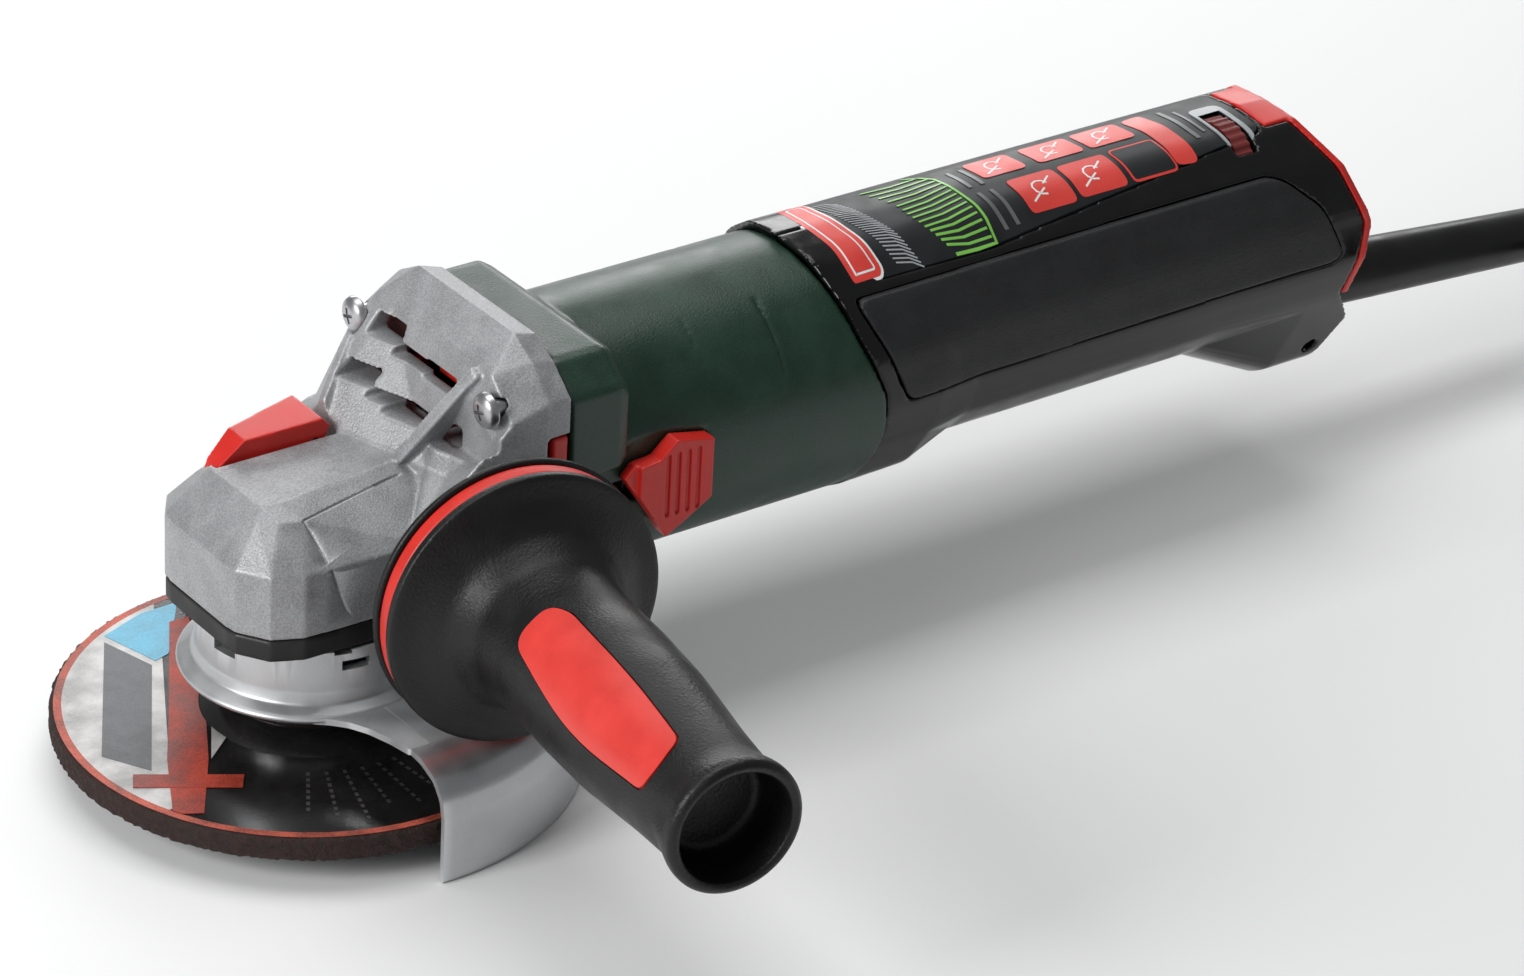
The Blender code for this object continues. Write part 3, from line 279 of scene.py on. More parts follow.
def fillet(points, radius, steps=3, closed=True):
    """The polyline with each corner rounded."""
    points = [Vector(p) for p in points]
    count = len(points)
    radii = radius if isinstance(radius, (list, tuple)) else [radius] * count
    made = []
    for i, point in enumerate(points):
        radius = radii[i]
        if not closed and i in (0, count - 1):
            made.append(point)
            continue
        before, after = points[i - 1], points[(i + 1) % count]
        reach = min(radius, (before - point).length * 0.45, (after - point).length * 0.45)
        first = point + (before - point).normalized() * reach
        last = point + (after - point).normalized() * reach
        for step in range(steps + 1):
            t = step / steps
            made.append(first * (1 - t) ** 2 + point * (2 * t * (1 - t)) + last * t * t)
    return [tuple(p) for p in made]


def lathe(profile, steps=96, angle=360.0, start=0.0, place=None, wobble=None):
    """A closed profile of (radius, height) points turned about Z. A part turn gets its two end faces."""
    shape = bmesh.new()
    whole = angle >= 360
    rows = []
    for step in range(steps if whole else steps + 1):
        turn = math.radians(start + angle * step / steps)
        row = []
        for index, (r, z) in enumerate(profile):
            if wobble:
                r, z = wobble(index, r, z, turn)
            row.append(shape.verts.new((r * math.cos(turn), r * math.sin(turn), z)))
        rows.append(row)
    pairs = list(zip(rows, rows[1:])) + ([(rows[-1], rows[0])] if whole else [])
    for row, following in pairs:
        for i in range(len(profile)):
            j = (i + 1) % len(profile)
            if profile[i][0] < 1e-6 and profile[j][0] < 1e-6:
                continue
            shape.faces.new((row[i], row[j], following[j], following[i]))
    if not whole:
        shape.faces.new(rows[0])
        shape.faces.new(rows[-1][::-1])
    bmesh.ops.transform(shape, matrix=place or Matrix.Identity(4), verts=shape.verts)
    bmesh.ops.dissolve_degenerate(shape, dist=0.0001, edges=shape.edges[:])
    return solid(shape)


def loft(rings):
    shape = bmesh.new()
    rows = [[shape.verts.new(p) for p in ring] for ring in rings]
    for row, following in zip(rows, rows[1:]):
        for i in range(len(row)):
            j = (i + 1) % len(row)
            shape.faces.new((row[i], row[j], following[j], following[i]))
    shape.faces.new(rows[0][::-1])
    shape.faces.new(rows[-1])
    bmesh.ops.triangulate(shape, faces=[f for f in shape.faces if len(f.verts) == 4])
    return solid(shape)


AXES = {"X": lambda u, v, w: (w, u, v), "Y": lambda u, v, w: (u, w, v), "Z": lambda u, v, w: (u, v, w)}


def prism(outline, low, high, axis="Z"):
    """A flat outline made thick. It is drawn in X, Y for axis Z, X, Z for Y and Y, Z for X."""
    shape = bmesh.new()
    rows = [[shape.verts.new(AXES[axis](u, v, w)) for u, v in outline] for w in (low, high)]
    for i in range(len(outline)):
        j = (i + 1) % len(outline)
        shape.faces.new((rows[0][i], rows[0][j], rows[1][j], rows[1][i]))
    shape.faces.new(rows[0][::-1])
    shape.faces.new(rows[1])
    return solid(shape)


def block(low, high):
    return prism([(low[0], low[1]), (high[0], low[1]), (high[0], high[1]), (low[0], high[1])], low[2],
                 high[2])


def rod(start, end, radius, end_radius=None, sides=32):
    start, end = Vector(start), Vector(end)
    shape = bmesh.new()
    bmesh.ops.create_cone(shape, cap_ends=True, segments=sides, radius1=radius,
                          radius2=radius if end_radius is None else end_radius, depth=(end - start).length)
    turn = (end - start).to_track_quat("Z", "Y").to_matrix().to_4x4()
    bmesh.ops.transform(shape, matrix=Matrix.Translation((start + end) / 2) @ turn, verts=shape.verts)
    return solid(shape)


def mesh_tube(points, radius, sides=12):
    """A closed round tube along points."""
    points = [Vector(p) for p in points]
    shape = bmesh.new()
    rows = []
    side = None
    for i, point in enumerate(points):
        along = (points[min(i + 1, len(points) - 1)] - points[max(i - 1, 0)]).normalized()
        if side is None:
            side = along.orthogonal().normalized()
        side = (side - along * side.dot(along)).normalized()
        up = along.cross(side)
        rows.append([
            shape.verts.new(point + (side * math.cos(a) + up * math.sin(a)) * radius)
            for a in (2 * math.pi * k / sides for k in range(sides))
        ])
    for row, following in zip(rows, rows[1:]):
        for k in range(sides):
            shape.faces.new((row[k], row[(k + 1) % sides], following[(k + 1) % sides], following[k]))
    shape.faces.new(rows[0][::-1])
    shape.faces.new(rows[-1])
    return solid(shape)


def along_x(x, y=0.0, z=71.0):
    """Places a turned form with its axis along +X."""
    return Matrix.Translation((x, y, z)) @ Matrix(((0, 0, 1, 0), (1, 0, 0, 0), (0, 1, 0, 0), (0, 0, 0, 1)))


def mirrored(points):
    return list(points) + [(-y, z) for y, z in reversed(points) if y > 0.01]


def inset(outline, distance):
    count = len(outline)
    area = sum(outline[i][0] * outline[(i + 1) % count][1] - outline[(i + 1) % count][0] * outline[i][1]
               for i in range(count))
    side = 1 if area > 0 else -1
    moved = []
    for i, point in enumerate(outline):
        before, here, after = Vector(outline[i - 1]), Vector(point), Vector(outline[(i + 1) % count])
        first, second = (here - before).normalized(), (after - here).normalized()
        normals = Vector((-first.y, first.x)) * side, Vector((-second.y, second.x)) * side
        mitre = (normals[0] + normals[1]).normalized()
        moved.append(tuple(here + mitre * distance / max(0.5, mitre.dot(normals[0]))))
    return moved


# ---------------------------------------------------------------- camera, light and floor

CAMERA_AZIMUTH, CAMERA_ELEVATION, CAMERA_ROLL = -37.75, 28.988, -3.257
CAMERA_AT = (-611.8, -964.7, 709.9)
FOCAL_SHARE = 5500 / 1524  # focal length over the frame's width
SENSOR = 36.0


def set_camera():
    a, e, roll = (math.radians(v) for v in (CAMERA_AZIMUTH, CAMERA_ELEVATION, CAMERA_ROLL))
    right = Vector((math.cos(a), math.sin(a), 0))
    back = Vector((math.sin(a) * math.cos(e), -math.cos(a) * math.cos(e), math.sin(e)))
    up = back.cross(right)
    level = Matrix((right, up, back)).transposed()
    turn = level @ Matrix.Rotation(-roll, 3, "Z")
    lens = bpy.data.cameras.new("camera")
    lens.sensor_width = SENSOR
    lens.lens = SENSOR * FOCAL_SHARE
    lens.clip_start = 0.05
    camera = bpy.data.objects.new("camera", lens)
    camera.matrix_world = Matrix.Translation(at(*CAMERA_AT)) @ turn.to_4x4()
    SCENE.collection.objects.link(camera)
    SCENE.camera = camera


def soft_light(name, place, target, width, height, power, colour=(1, 1, 1)):
    data = bpy.data.lights.new(name, "AREA")
    data.shape = "RECTANGLE"
    data.size, data.size_y, data.energy, data.color = width, height, power, colour
    light = bpy.data.objects.new(name, data)
    place, target = at(*place), at(*target)
    light.matrix_world = Matrix.Translation(place) @ (place - target).to_track_quat("Z",
            "Y").to_matrix().to_4x4()
    SCENE.collection.objects.link(light)


def set_stage():
    world = bpy.data.worlds.new("studio")
    SCENE.world = world
    world.use_nodes = True
    sky = world.node_tree.nodes["Background"]
    sky.inputs["Color"].default_value = (0.96, 0.98, 1.0, 1)
    sky.inputs["Strength"].default_value = 0.23
    soft_light("key", (-1050, -90, 640), (60, 0, 50), 0.5, 0.5, 10.5)
    soft_light("top", (100, 250, 1250), (100, 0, 50), 1.3, 0.7, 9)
    soft_light("rim", (700, 900, 450), (120, 0, 60), 1.0, 0.35, 5)
    SCENE.view_settings.view_transform = "Standard"
    SCENE.view_settings.look = "None"
    shape = bmesh.new()
    bmesh.ops.create_grid(shape, x_segments=8, y_segments=8, size=4000)
    floor = solid(shape, "floor")
    floor.data.transform(TO_ROW @ Matrix.Translation((0, 0, -0.3)))
    finish("floor_paper", (0.88, 0.88, 0.88), 0.85, mottle=0.005, mottle_size=300, speck=0.0, grain=0.0)
    floor.data.materials.append(MATERIALS["floor_paper"])


set_camera()
set_stage()

# ---------------------------------------------------------------- cord

SLEEVE_START, SLEEVE_END = Vector((303.0, 0.0, 47.6)), Vector((401.0, 0.0, 38.8))
CORD_RADIUS = 4.5
COIL_CENTRE = (514.0, -62.0)
COIL_TURN_RADII = (61.5, 52.0, 42.5)  # outer, middle and inner turns
LAYER_HEIGHTS = (4.6, 13.7, 22.8, 31.9)
COIL_TOP = 36.5
ENTRY_BACK = 36.0
PLUG_RADIUS = 18.5
PLUG_BACK = 440.0


def bezier(first, second, third, fourth, count):
    points = []
    for i in range(count):
        t = i / (count - 1)
        near = first * (1 - t) ** 3 + second * (3 * t * (1 - t) ** 2)
        points.append(near + third * (3 * t * t * (1 - t)) + fourth * t**3)
    return points


def cord_route():
    """From the sleeve down to the floor, round the coil in four layers, and off its top to the plug."""
    outward = (SLEEVE_END - SLEEVE_START).normalized()
    exit_point = SLEEVE_END + outward * 0.8
    x, y = COIL_CENTRE
    arrive = Vector((x - ENTRY_BACK, y + COIL_TURN_RADII[0], CORD_RADIUS + 0.1))
    points = bezier(exit_point, exit_point + outward * 34, arrive - Vector((34, 0, 0)), arrive, 20)
    per_turn = 36
    start = math.radians(90)
    # turns run clockwise from the +Y side: outwards to inwards, then back, a layer at a time
    order = []
    for layer, height in enumerate(LAYER_HEIGHTS):
        radii = COIL_TURN_RADII if layer % 2 == 0 else COIL_TURN_RADII[::-1]
        order += [(r, height) for r in radii]
    total = len(order)
    half_turn_end = total - 0.5
    steps = int(per_turn * half_turn_end)
    for step in range(1, steps + 1):
        turns = half_turn_end * step / steps
        index = min(int(turns), total - 1)
        share = turns - index
        radius, height = order[index]
        following = order[min(index + 1, total - 1)]
        # each turn keeps its radius and passes to the next over its last fifth
        blend = max(0.0, (share - 0.8) / 0.2)
        blend = blend * blend * (3 - 2 * blend)
        radius += (following[0] - radius) * blend
        height += (following[1] - height) * blend
        angle = start - 2 * math.pi * turns
        points.append(Vector((x + radius * math.cos(angle), y + radius * math.sin(angle), height)))
    last = points[-1]
    leave = Vector((x - ENTRY_BACK, y - COIL_TURN_RADII[0], COIL_TOP - CORD_RADIUS))
    plug_end = Vector((PLUG_BACK + 1.2, leave.y, PLUG_RADIUS + 0.1))
    points += bezier(last, last - Vector((12, 0, 0)), leave + Vector((12, 0, 0)), leave, 5)[1:]
    points += bezier(leave, leave - Vector((22, 0, 0)), plug_end + Vector((22, 0, 0)), plug_end, 10)[1:]
    return points, exit_point


def make_cord():
    points, exit_point = cord_route()
    curve = bpy.data.curves.new("mains_cord", "CURVE")
    curve.dimensions = "3D"
    curve.bevel_depth = CORD_RADIUS * MM
    curve.bevel_resolution = 5
    curve.use_fill_caps = True
    line = curve.splines.new("POLY")
    line.points.add(len(points) - 1)
    for knot, point in zip(line.points, points):
        knot.co = (*(TO_ROW @ point), 1)
    line.use_smooth = True
    curve.materials.append(MATERIALS["rubber"])
    cord = bpy.data.objects.new("mains_cord", curve)
    SCENE.collection.objects.link(cord)
    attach(cord, "tool_body")
    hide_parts("power_cord", "cord_coil", "cord_tail")
    length = sum((b - a).length for a, b in zip(points, points[1:]))
    print("cord length", round(length, 1))

    turn = Matrix.Rotation(-math.pi / 2, 4, "Y")
    facing = Matrix.Translation((PLUG_BACK, COIL_CENTRE[1] - COIL_TURN_RADII[0], PLUG_RADIUS + 0.1)) @ turn
    body = [(0, 62), (14.2, 62), (17.6, 60.6), (18.5, 57.5), (18.5, 39), (17.6, 34), (15, 27), (12, 22)]
    for index in range(4):  # grip ridges on the plug's neck
        z = 20 - 4.6 * index
        r = 9.6 - 0.75 * index
        body += [(r, z), (r, z - 2.3), (r - 1.3, z - 2.7), (r - 1.4, z - 4.2)]
    body += [(5.2, 0), (0, 0)]
    plug = lathe(fillet(body, 0.7, 2, closed=False), 72, place=facing)
    for side in (-1, 1):
        for index in range(5):
            x = PLUG_BACK - 39 - 3.6 * index
            bar = block((x - 0.9, facing.translation.y + side * 18.9 - 2, facing.translation.z - 7),
                        (x + 0.9, facing.translation.y + side * 18.9 + 2, facing.translation.z + 7))
            cut(plug, bar)
    plug = piece("mains_plug_body", plug, "tool_body", "rubber", "rubber", "mains_plug", angle=35)
    for index, side in enumerate((-9.5, 9.5)):
        tip = Vector((PLUG_BACK - 62 - 0.3, facing.translation.y + side, facing.translation.z))
        profile = [(0, 19), (1.2, 19), (2.2, 18.2), (2.4, 17.4), (2.4, 0), (0, 0)]
        pin = lathe(profile, 32, place=Matrix.Translation(tip) @ turn)
        piece(f"plug_contact_{index + 1}", pin, "tool_body", "brass", "brass",
                          f"plug_pin_{index + 1}", angle=40)


def make_sleeve():
    axis = SLEEVE_END - SLEEVE_START
    length = axis.length
    profile = [(0, 0), (9.0, 0), (9.0, 3.2), (8.6, 4.2)]
    for index in range(3):
        z = 9 + 3.2 * index
        profile += [(8.55, z), (8.15, z + 0.3), (8.15, z + 1.1), (8.55, z + 1.4)]
    profile += [(7.35, length - 1), (7.0, length), (0, length)]
    turn = axis.to_track_quat("Z", "Y").to_matrix().to_4x4()
    sleeve = lathe(fillet(profile, 0.4, 2, closed=False), 64, place=Matrix.Translation(SLEEVE_START) @ turn)
    piece("cord_bend_sleeve", sleeve, "tool_body", "rubber", "rubber", "cord_sleeve", angle=50)


make_cord()
make_sleeve()

# ---------------------------------------------------------------- gear head


def make_head():
    head = cad("gear_housing")
    # the roof over the pinion is thin there, so it is thickened from below
    roof = block((17.2, -4.5, 77.75), (20.6, 4.5, 78.45))
    slope = prism([(19.0, 78.3), (20.6, 78.3), (20.6, 79.5), (20.0, 79.0)], -1, 4.5, "Y")
    join(head, roof, slope)
    softened(head, 0.5, 4, 0.35)
    marks = [
        ((18, -10.35, 76.2), (10, -12, 76.2)),
        ((10, -12, 76.2), (-13, -17.6, 76.2)),
        ((-13, -17.6, 76.2), (-11.3, -25.8, 68.2)),
        ((-11, -27.15, 66.9), (-7, -27.3, 55)),
    ]
    cut(head, *(rod(start, end, 0.4, sides=6) for start, end in marks))
    piece("head_casting", head, "tool_body", "cast_aluminium", "cast_aluminium", "gear_housing")

    flange = softened(cad("bearing_flange"), 0.55, 3, 0.3)
    piece("flange_plate", flange, "tool_body", "black_paint", "black_paint", "bearing_flange")

    guide = cad("air_guide")
    join(guide, block((37.8, -12.6, 92.5), (45.5, 3.0, 100.2)))
    softened(guide, 0.5, 3, 0.4)
    piece("air_deflector", guide, "tool_body", "red_plastic", "red_plastic", "air_guide")


SCREW_PLACES = [(28.6, 98.5), (-28.6, 98.5), (27.5, 47.5), (-27.5, 47.5)]


def make_screws():
    for index, (y, z) in enumerate(SCREW_PLACES):
        profile = fillet([(0, 3.2), (2.4, 3.0), (4.1, 2.1), (4.6, 0.9), (4.6, 0.0), (2.0, 0.0),
                          (2.0, -15.6), (0, -15.6)],
                         0.5, 2, closed=False)
        place = Matrix.Translation((31.2, y, z)) @ Matrix.Rotation(-math.pi / 2, 4, "Y")
        screw = lathe(profile, 40, place=place)
        for turn in (0.35, 0.35 + math.pi / 2):
            bar = block((-2.0, -0.42, 2.0), (2.0, 0.42, 5))
            bar.data.transform(place @ Matrix.Rotation(turn, 4, "Z"))
            cut(screw, bar)
        name = f"gearhead_screw_{index + 1}"
        piece(f"head_bolt_{index + 1}", screw, "tool_body", "screw_steel", "steel", name, angle=32)


def make_lever():
    lever = softened(cad("quick_lever"), 0.3, 4, 0.5)
    piece("quick_lever_cap", lever, "lever_unit", "red_plastic", "red_plastic", "quick_lever")


def make_lock_spring():
    spring = []
    steps = 120
    for i in range(steps + 1):
        turn = 4 * math.pi * i / steps
        spring.append((-6 + 2.75 * math.cos(turn), 16.5 + 2.75 * math.sin(turn), 69.45 + 3.2 * i / steps))
    made = piece("lock_coil", mesh_tube(spring, 0.3, 10), "tool_body", "steel", "steel", "lock_spring")
    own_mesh(made)


make_head()
make_screws()
make_lever()
make_lock_spring()

# ---------------------------------------------------------------- guard and disc

DISC_RADIUS, DISC_THICKNESS, DISC_TOP = 62.5, 6.5, 14.0
GUARD_SPAN = (-94.0, 86.0)
COLLAR_RADIUS, GUARD_RADIUS, GUARD_SHEET = 27.5, 67.5, 1.6


def around(radius, turn):
    """Places a shape at this radius from the spindle, turned by the same angle."""
    out = Matrix.Translation((math.cos(turn) * radius, math.sin(turn) * radius, 0))
    return out @ Matrix.Rotation(turn, 4, "Z")


def make_guard():
    inner = COLLAR_RADIUS - GUARD_SHEET
    top = 43.6
    collar = [(COLLAR_RADIUS, top), (COLLAR_RADIUS, 32.5), (28.4, 29.8), (31.2, 28.4), (32.0, 27.6),
              (31.6, 26.6), (29.6, 26.3), (inner, 30.5), (inner - 0.9, 31.5), (inner - 0.9, top)]
    guard = lathe(fillet(collar, 0.6, 3), 128)
    r = GUARD_RADIUS
    cover = [(29.5, 28.0), (56, 28.0), (62.5, 26.2), (66.3, 22.2), (r, 17), (r, 1.2), (r - 0.3, 0.0),
             (r - GUARD_SHEET, 0), (r - GUARD_SHEET, 16.6), (64.9, 21.3), (61.6, 24.8), (55.6, 26.4),
             (29.5, 26.4)]
    span = GUARD_SPAN[1] - GUARD_SPAN[0]
    join(guard, lathe(fillet(cover, 1.2, 4), 90, span, GUARD_SPAN[0]))
    web = [(28.9, -124), (31.4, -120), (32.2, -113), (34.4, -106), (38.5, -100.5), (44.5, -96.6),
           (51, -94.4), (51, -88), (28.9, -88)]
    web = [(r * math.cos(math.radians(a)), r * math.sin(math.radians(a))) for r, a in web]
    join(guard, prism(fillet(web, 0.9, 3), 26.4, 28.05))
    for angle in (191, 262, 20, 100):
        turn = math.radians(angle)
        slot = prism(fillet([(-4, -3.6), (4, -3.6), (4, 3.6), (-4, 3.6)], 0.5, 2), 38.2, 40.8)
        slot.data.transform(around(27, turn))
        cut(guard, slot)
    for index in range(12):  # notches round the collar's upper edge
        turn = math.radians(15 + 30 * index)
        notch = block((-3, -2.2, 42.6), (3, 2.2, 46))
        notch.data.transform(around(26, turn))
        cut(guard, notch)
    piece("wheel_guard", guard, "guard_unit", "guard_steel", "guard_steel", "guard", angle=32)


def make_disc():
    rng = random.Random(7)
    rim = DISC_TOP - DISC_THICKNESS
    profile = [(58, DISC_TOP), (61.0, DISC_TOP - 0.05), (62.1, DISC_TOP - 0.5)]
    profile += [(62.3, DISC_TOP - 0.5 - (DISC_THICKNESS - 1.0) * i / 8) for i in range(1, 8)]
    profile += [(62.1, rim + 0.5), (61.2, rim), (50, rim), (40, rim), (30, rim), (24.5, rim), (20.5, 12.6),
                (11.2, 12.6),
                (11.2, 18.9), (21, 18.9), (26, DISC_TOP), (40, DISC_TOP), (50, DISC_TOP)]

    def grit(index, r, z, turn):
        if 1 <= index <= 11:
            r = min(DISC_RADIUS, r + rng.uniform(-0.45, 0.2))
            z = min(DISC_TOP, max(rim, z + rng.uniform(-0.2, 0.2)))
        return r, z

    disc = lathe(profile, 400, wobble=grit)
    piece("abrasive_wheel", disc, "spindle_unit", "abrasive", "abrasive", "grinding_disc", angle=55)


def flat_pieces(name, outlines, height, look, body, slot, thick=0.12):
    """Thin printed shapes on a level surface."""
    shape = bmesh.new()
    for outline in outlines:
        face = shape.faces.new([shape.verts.new((x, y, height)) for x, y in outline])
        lifted = bmesh.ops.extrude_face_region(shape, geom=[face])["geom"]
        bmesh.ops.translate(shape, vec=(0, 0, -thick),
                            verts=[v for v in lifted if isinstance(v, bmesh.types.BMVert)])
    return piece(name, solid(shape), body, look, slot, angle=30)


LABEL_RADIUS = 59.3


def label_shape(name, outline, height, look):
    """A printed area on the disc, kept inside the label's round edge and outside its hub."""
    form = prism(outline, height - 0.15, height)
    keep(form, rod((0, 0, 10), (0, 0, 18), LABEL_RADIUS, sides=180))
    cut(form, rod((0, 0, 9), (0, 0, 19), 26.5, sides=96))
    return piece(name, form, "spindle_unit", look, "abrasive", angle=30)


def make_label():
    edge = LABEL_RADIUS + 0.2
    base = lathe([(26.3, 14.0), (edge, 14.0), (edge, 14.06), (26.3, 14.06)], 180)
    piece("disc_label_base", base, "spindle_unit", "disc_print_black", "abrasive", angle=30)
    # a thin glossy black shell over the raised hub: partly the label's black print, partly painted shade
    # under the guard collar and clamp nut
    hub = lathe([(20.6, 18.9), (21.1, 18.95), (26.4, 14.06), (26.0, 14.0)], 120)
    piece("disc_hub_print_and_painted_shade", hub, "spindle_unit", "disc_print_black", "abrasive", angle=50)
    ring = lathe([(LABEL_RADIUS, 14.0), (61.3, 14.0), (61.3, 14.09), (LABEL_RADIUS, 14.09)], 180)
    piece("disc_label_rim", ring, "spindle_unit", "disc_print_salmon", "abrasive", angle=30)
    under = lathe([(24.6, 7.5), (60, 7.5), (60, 7.42), (24.6, 7.42)], 160)
    piece("disc_underside_print", under, "spindle_unit", "disc_print_grey", "abrasive", angle=30)
    label_shape("disc_label_silver", [(-3, 70), (-75, 70), (-75, -25), (-53, -25), (-20, 35)], 14.12,
                "disc_print_silver")
    label_shape("disc_label_band", [(-28.2, 49), (-55.4, 3.5), (-48.6, -8.2), (-23.8, 33.5)], 14.18,
                "disc_print_grey")
    label_shape("disc_label_blue", [(-26.7, 51.6), (-13.7, 56.3), (-3, 56.4), (-17.6, 36.1), (-22, 34.8)],
                14.24,
                "disc_print_blue")
    stripe = [(-9.7, 49), (-22.3, 27.9), (-33.3, 9.7), (-42.9, -5.7), (-54, -27), (-47.8, -30.8),
              (-34.5, -10.8),
              (-19.9, 15.4), (-4.2, 48.9)]
    label_shape("disc_label_stripe", stripe, 14.30, "disc_print_orange")
    label_shape("disc_label_cross", [(-53.3, -7.5), (-56.2, -12.4), (-34.3, -25.9), (-31, -21.2)], 14.36,
                "disc_print_orange")
    label_shape("disc_label_sliver", [(-24.6, 4.3), (-20, 0), (-34, -11.2)], 14.42, "disc_print_silver")
    marks = []
    for column in range(9):
        turn = math.radians(-122 + 7.5 * column)
        along, across = Vector((math.cos(turn), math.sin(turn))), Vector((-math.sin(turn), math.cos(turn)))
        for row in range(7 + column % 3):
            spot = along * (33 + 2.6 * row)
            marks.append([tuple(spot + along * u + across * v) for u,
                          v in ((0, -0.45), (1.5, -0.45), (1.5, 0.45), (0, 0.45))])
    flat_pieces("disc_label_marks", marks, 14.12, "disc_print_faint", "spindle_unit", "abrasive", 0.05)


def make_disc_hardware():
    nut = fillet([(14.5, 12.3), (17, 12.3), (19, 10.6), (19, 6.6), (17.2, 5), (8.2, 5), (7.3, 5.8),
                  (7.3, 12.3)], 0.6, 3)
    nut = lathe(nut, 72)
    for angle in (45, 225, 135, 315):
        turn = math.radians(angle)
        cut(nut, rod((13 * math.cos(turn), 13 * math.sin(turn), 0),
                     (13 * math.cos(turn), 13 * math.sin(turn), 9.5), 1.9, sides=20))
    piece("disc_clamp_nut", nut, "spindle_unit", "black_paint", "black_paint", "clamp_nut", angle=32)
    step = fillet([(20.5, 26), (20.5, 19.2), (10.9, 19.2), (10.9, 13.2), (7.3, 13.2), (7.3, 26)], 0.5, 2)
    piece("disc_inner_flange", lathe(step, 64), "spindle_unit", "steel", "steel", "inner_flange", angle=32)
    profile = [(0, 73), (3.6, 73), (4.0, 72.4), (4.0, 66), (6.0, 65), (6.0, 37), (9.0, 37), (9.0, 33.5),
               (7.0, 33.5), (7.0, 25)]
    z = 25.0
    while z > 6.5:  # thread, drawn as rings
        profile += [(7.0, z), (6.3, z - 1.0)]
        z -= 2.0
    profile += [(7.0, 5.6), (6.2, 4.5), (0, 4.5)]
    piece("output_spindle", lathe(profile, 64), "spindle_unit", "steel", "steel", "spindle", angle=32)


make_guard()
make_disc()
make_label()
make_disc_hardware()

# ---------------------------------------------------------------- motor housing

BOUNDARY = [(133.5, 108), (136, 102.6), (140.4, 87.3), (146.3, 73), (147.5, 62), (143.5, 35)]
SLIDE_OUTLINE = [(66.5, 72.5), (69.5, 75.5), (75.5, 76.0), (80.5, 80.3), (91.5, 78), (91.5, 62), (83, 57),
                 (78, 54.5),
                 (74.5, 60.5)]
SLIDE_TRAVEL = 9.0
STATOR_RADIUS = 28.2
HEAD_REAR = 50.0


def slide_recess():
    line = inset(SLIDE_OUTLINE, -0.6)
    front = [(x - SLIDE_TRAVEL - 1.0, z) for x, z in line]
    outline = [*front[:4], line[3], line[4], line[5], line[6], line[7], front[7], front[8]]
    return prism(fillet(outline, 0.8, 2), -42, -31.9, "Y")


def make_motor_housing():
    def ring(x, half, corner):
        return [(x, y, z) for y, z in fillet(mirrored(half), corner, 4)]

    collar = [(26.5, 105.5), (35.3, 98.5), (35.3, 49), (26, 36.3)]
    small = [(25.9, 104.9), (34.7, 98.0), (34.7, 49.4), (25.6, 37.0)]
    neck = [(26.2, 103.6), (34.2, 96.5), (34.2, 50), (25.8, 37.4)]
    rings = [ring(HEAD_REAR, small, 1.5), ring(HEAD_REAR + 0.7, collar, 1.5), ring(64.5, collar, 1.5),
             ring(67.5, neck, 2.0)]
    housing = loft(rings)
    join(housing, lathe([(0, 66), (33.9, 66), (33.9, 152), (0, 152)], 144, place=along_x(0, 0, 70.0)))
    line = [(x, z) for x, z in BOUNDARY] + [(400, 10), (400, 130)]
    cut(
        housing,
        lathe([(0, 49), (STATOR_RADIUS + 0.3, 49), (STATOR_RADIUS + 0.3, 160), (0, 160)], 96,
              place=along_x(0)),
        prism(line, -60, 60, "Y"),
        slide_recess(),
        block((60, -30.3, 64.2), (160, -26, 70.3)),
        block((62.5, -33, 64.2), (92, -29, 70.3)),
    )
    for x in (70.5, 95.0, 117.0):  # short moulded lines across the near side and their mirror images
        for start in (26, 118):
            line = [(33.2, x - 0.45), (36, x - 0.9), (36, x + 0.9), (33.2, x + 0.45)]
            ring_cut = lathe(line, 40, 36, start, place=along_x(0, 0, 70.0))
            cut(housing, ring_cut)
    softened(housing, 0.6, 4, 0.35)
    piece("motor_shell", housing, "tool_body", "green_plastic", "green_plastic", "motor_housing")

    slide = softened(cad("slide_switch"), 0.3, 3, 0.5)
    piece("slide_button", slide, "switch_unit", "red_plastic", "red_plastic", "slide_switch")


make_motor_housing()

# ---------------------------------------------------------------- rear handle

HANDLE_STATIONS = [
    # x, top, half width, bottom, half width of the flat bottom
    (130, 105.9, 34.6, 36.9, 15),
    (165, 105.8, 33.6, 37.8, 15),
    (178, 105.6, 32.0, 43.0, 14),
    (262, 105.6, 31.6, 42.6, 13),
    (292, 105.6, 31.8, 27.8, 10),
    (325, 105.6, 31.8, 27.8, 10),
]
REAR_LINE = [(291, 110), (294.5, 105.3), (301.6, 94.9), (308.6, 79), (305.2, 58.5), (314.5, 46), (308, 24)]
PAD_OUTLINE = [(142, 96), (154, 69.4), (296, 71), (298.5, 73), (291.5, 86.5), (281, 95), (276, 96.5)]
PANEL_OUTLINE = [(151, 21), (151, -21), (186, -21), (243, -16), (283, -12), (283, 12), (243, 16), (186, 21)]
WHEEL_AXIS = (-5.5, 93.3)


def handle_form(smaller=0.0):
    rings = []
    for x, top, wide, bottom, flat in HANDLE_STATIONS:
        half = [(0, top), (12, top - 1.2), (19.8, top - 6.4), (25.5, top - 10.5), (wide - 1.2, 83),
                (wide, 69.5),
                (wide - 3.5, 58), (flat + 5, bottom + 4.5), (flat - 3, bottom), (0, bottom)]
        rings.append([(x, y, z) for y, z in fillet(inset(mirrored(half), smaller), 3.5, 3)])
    return loft(rings)


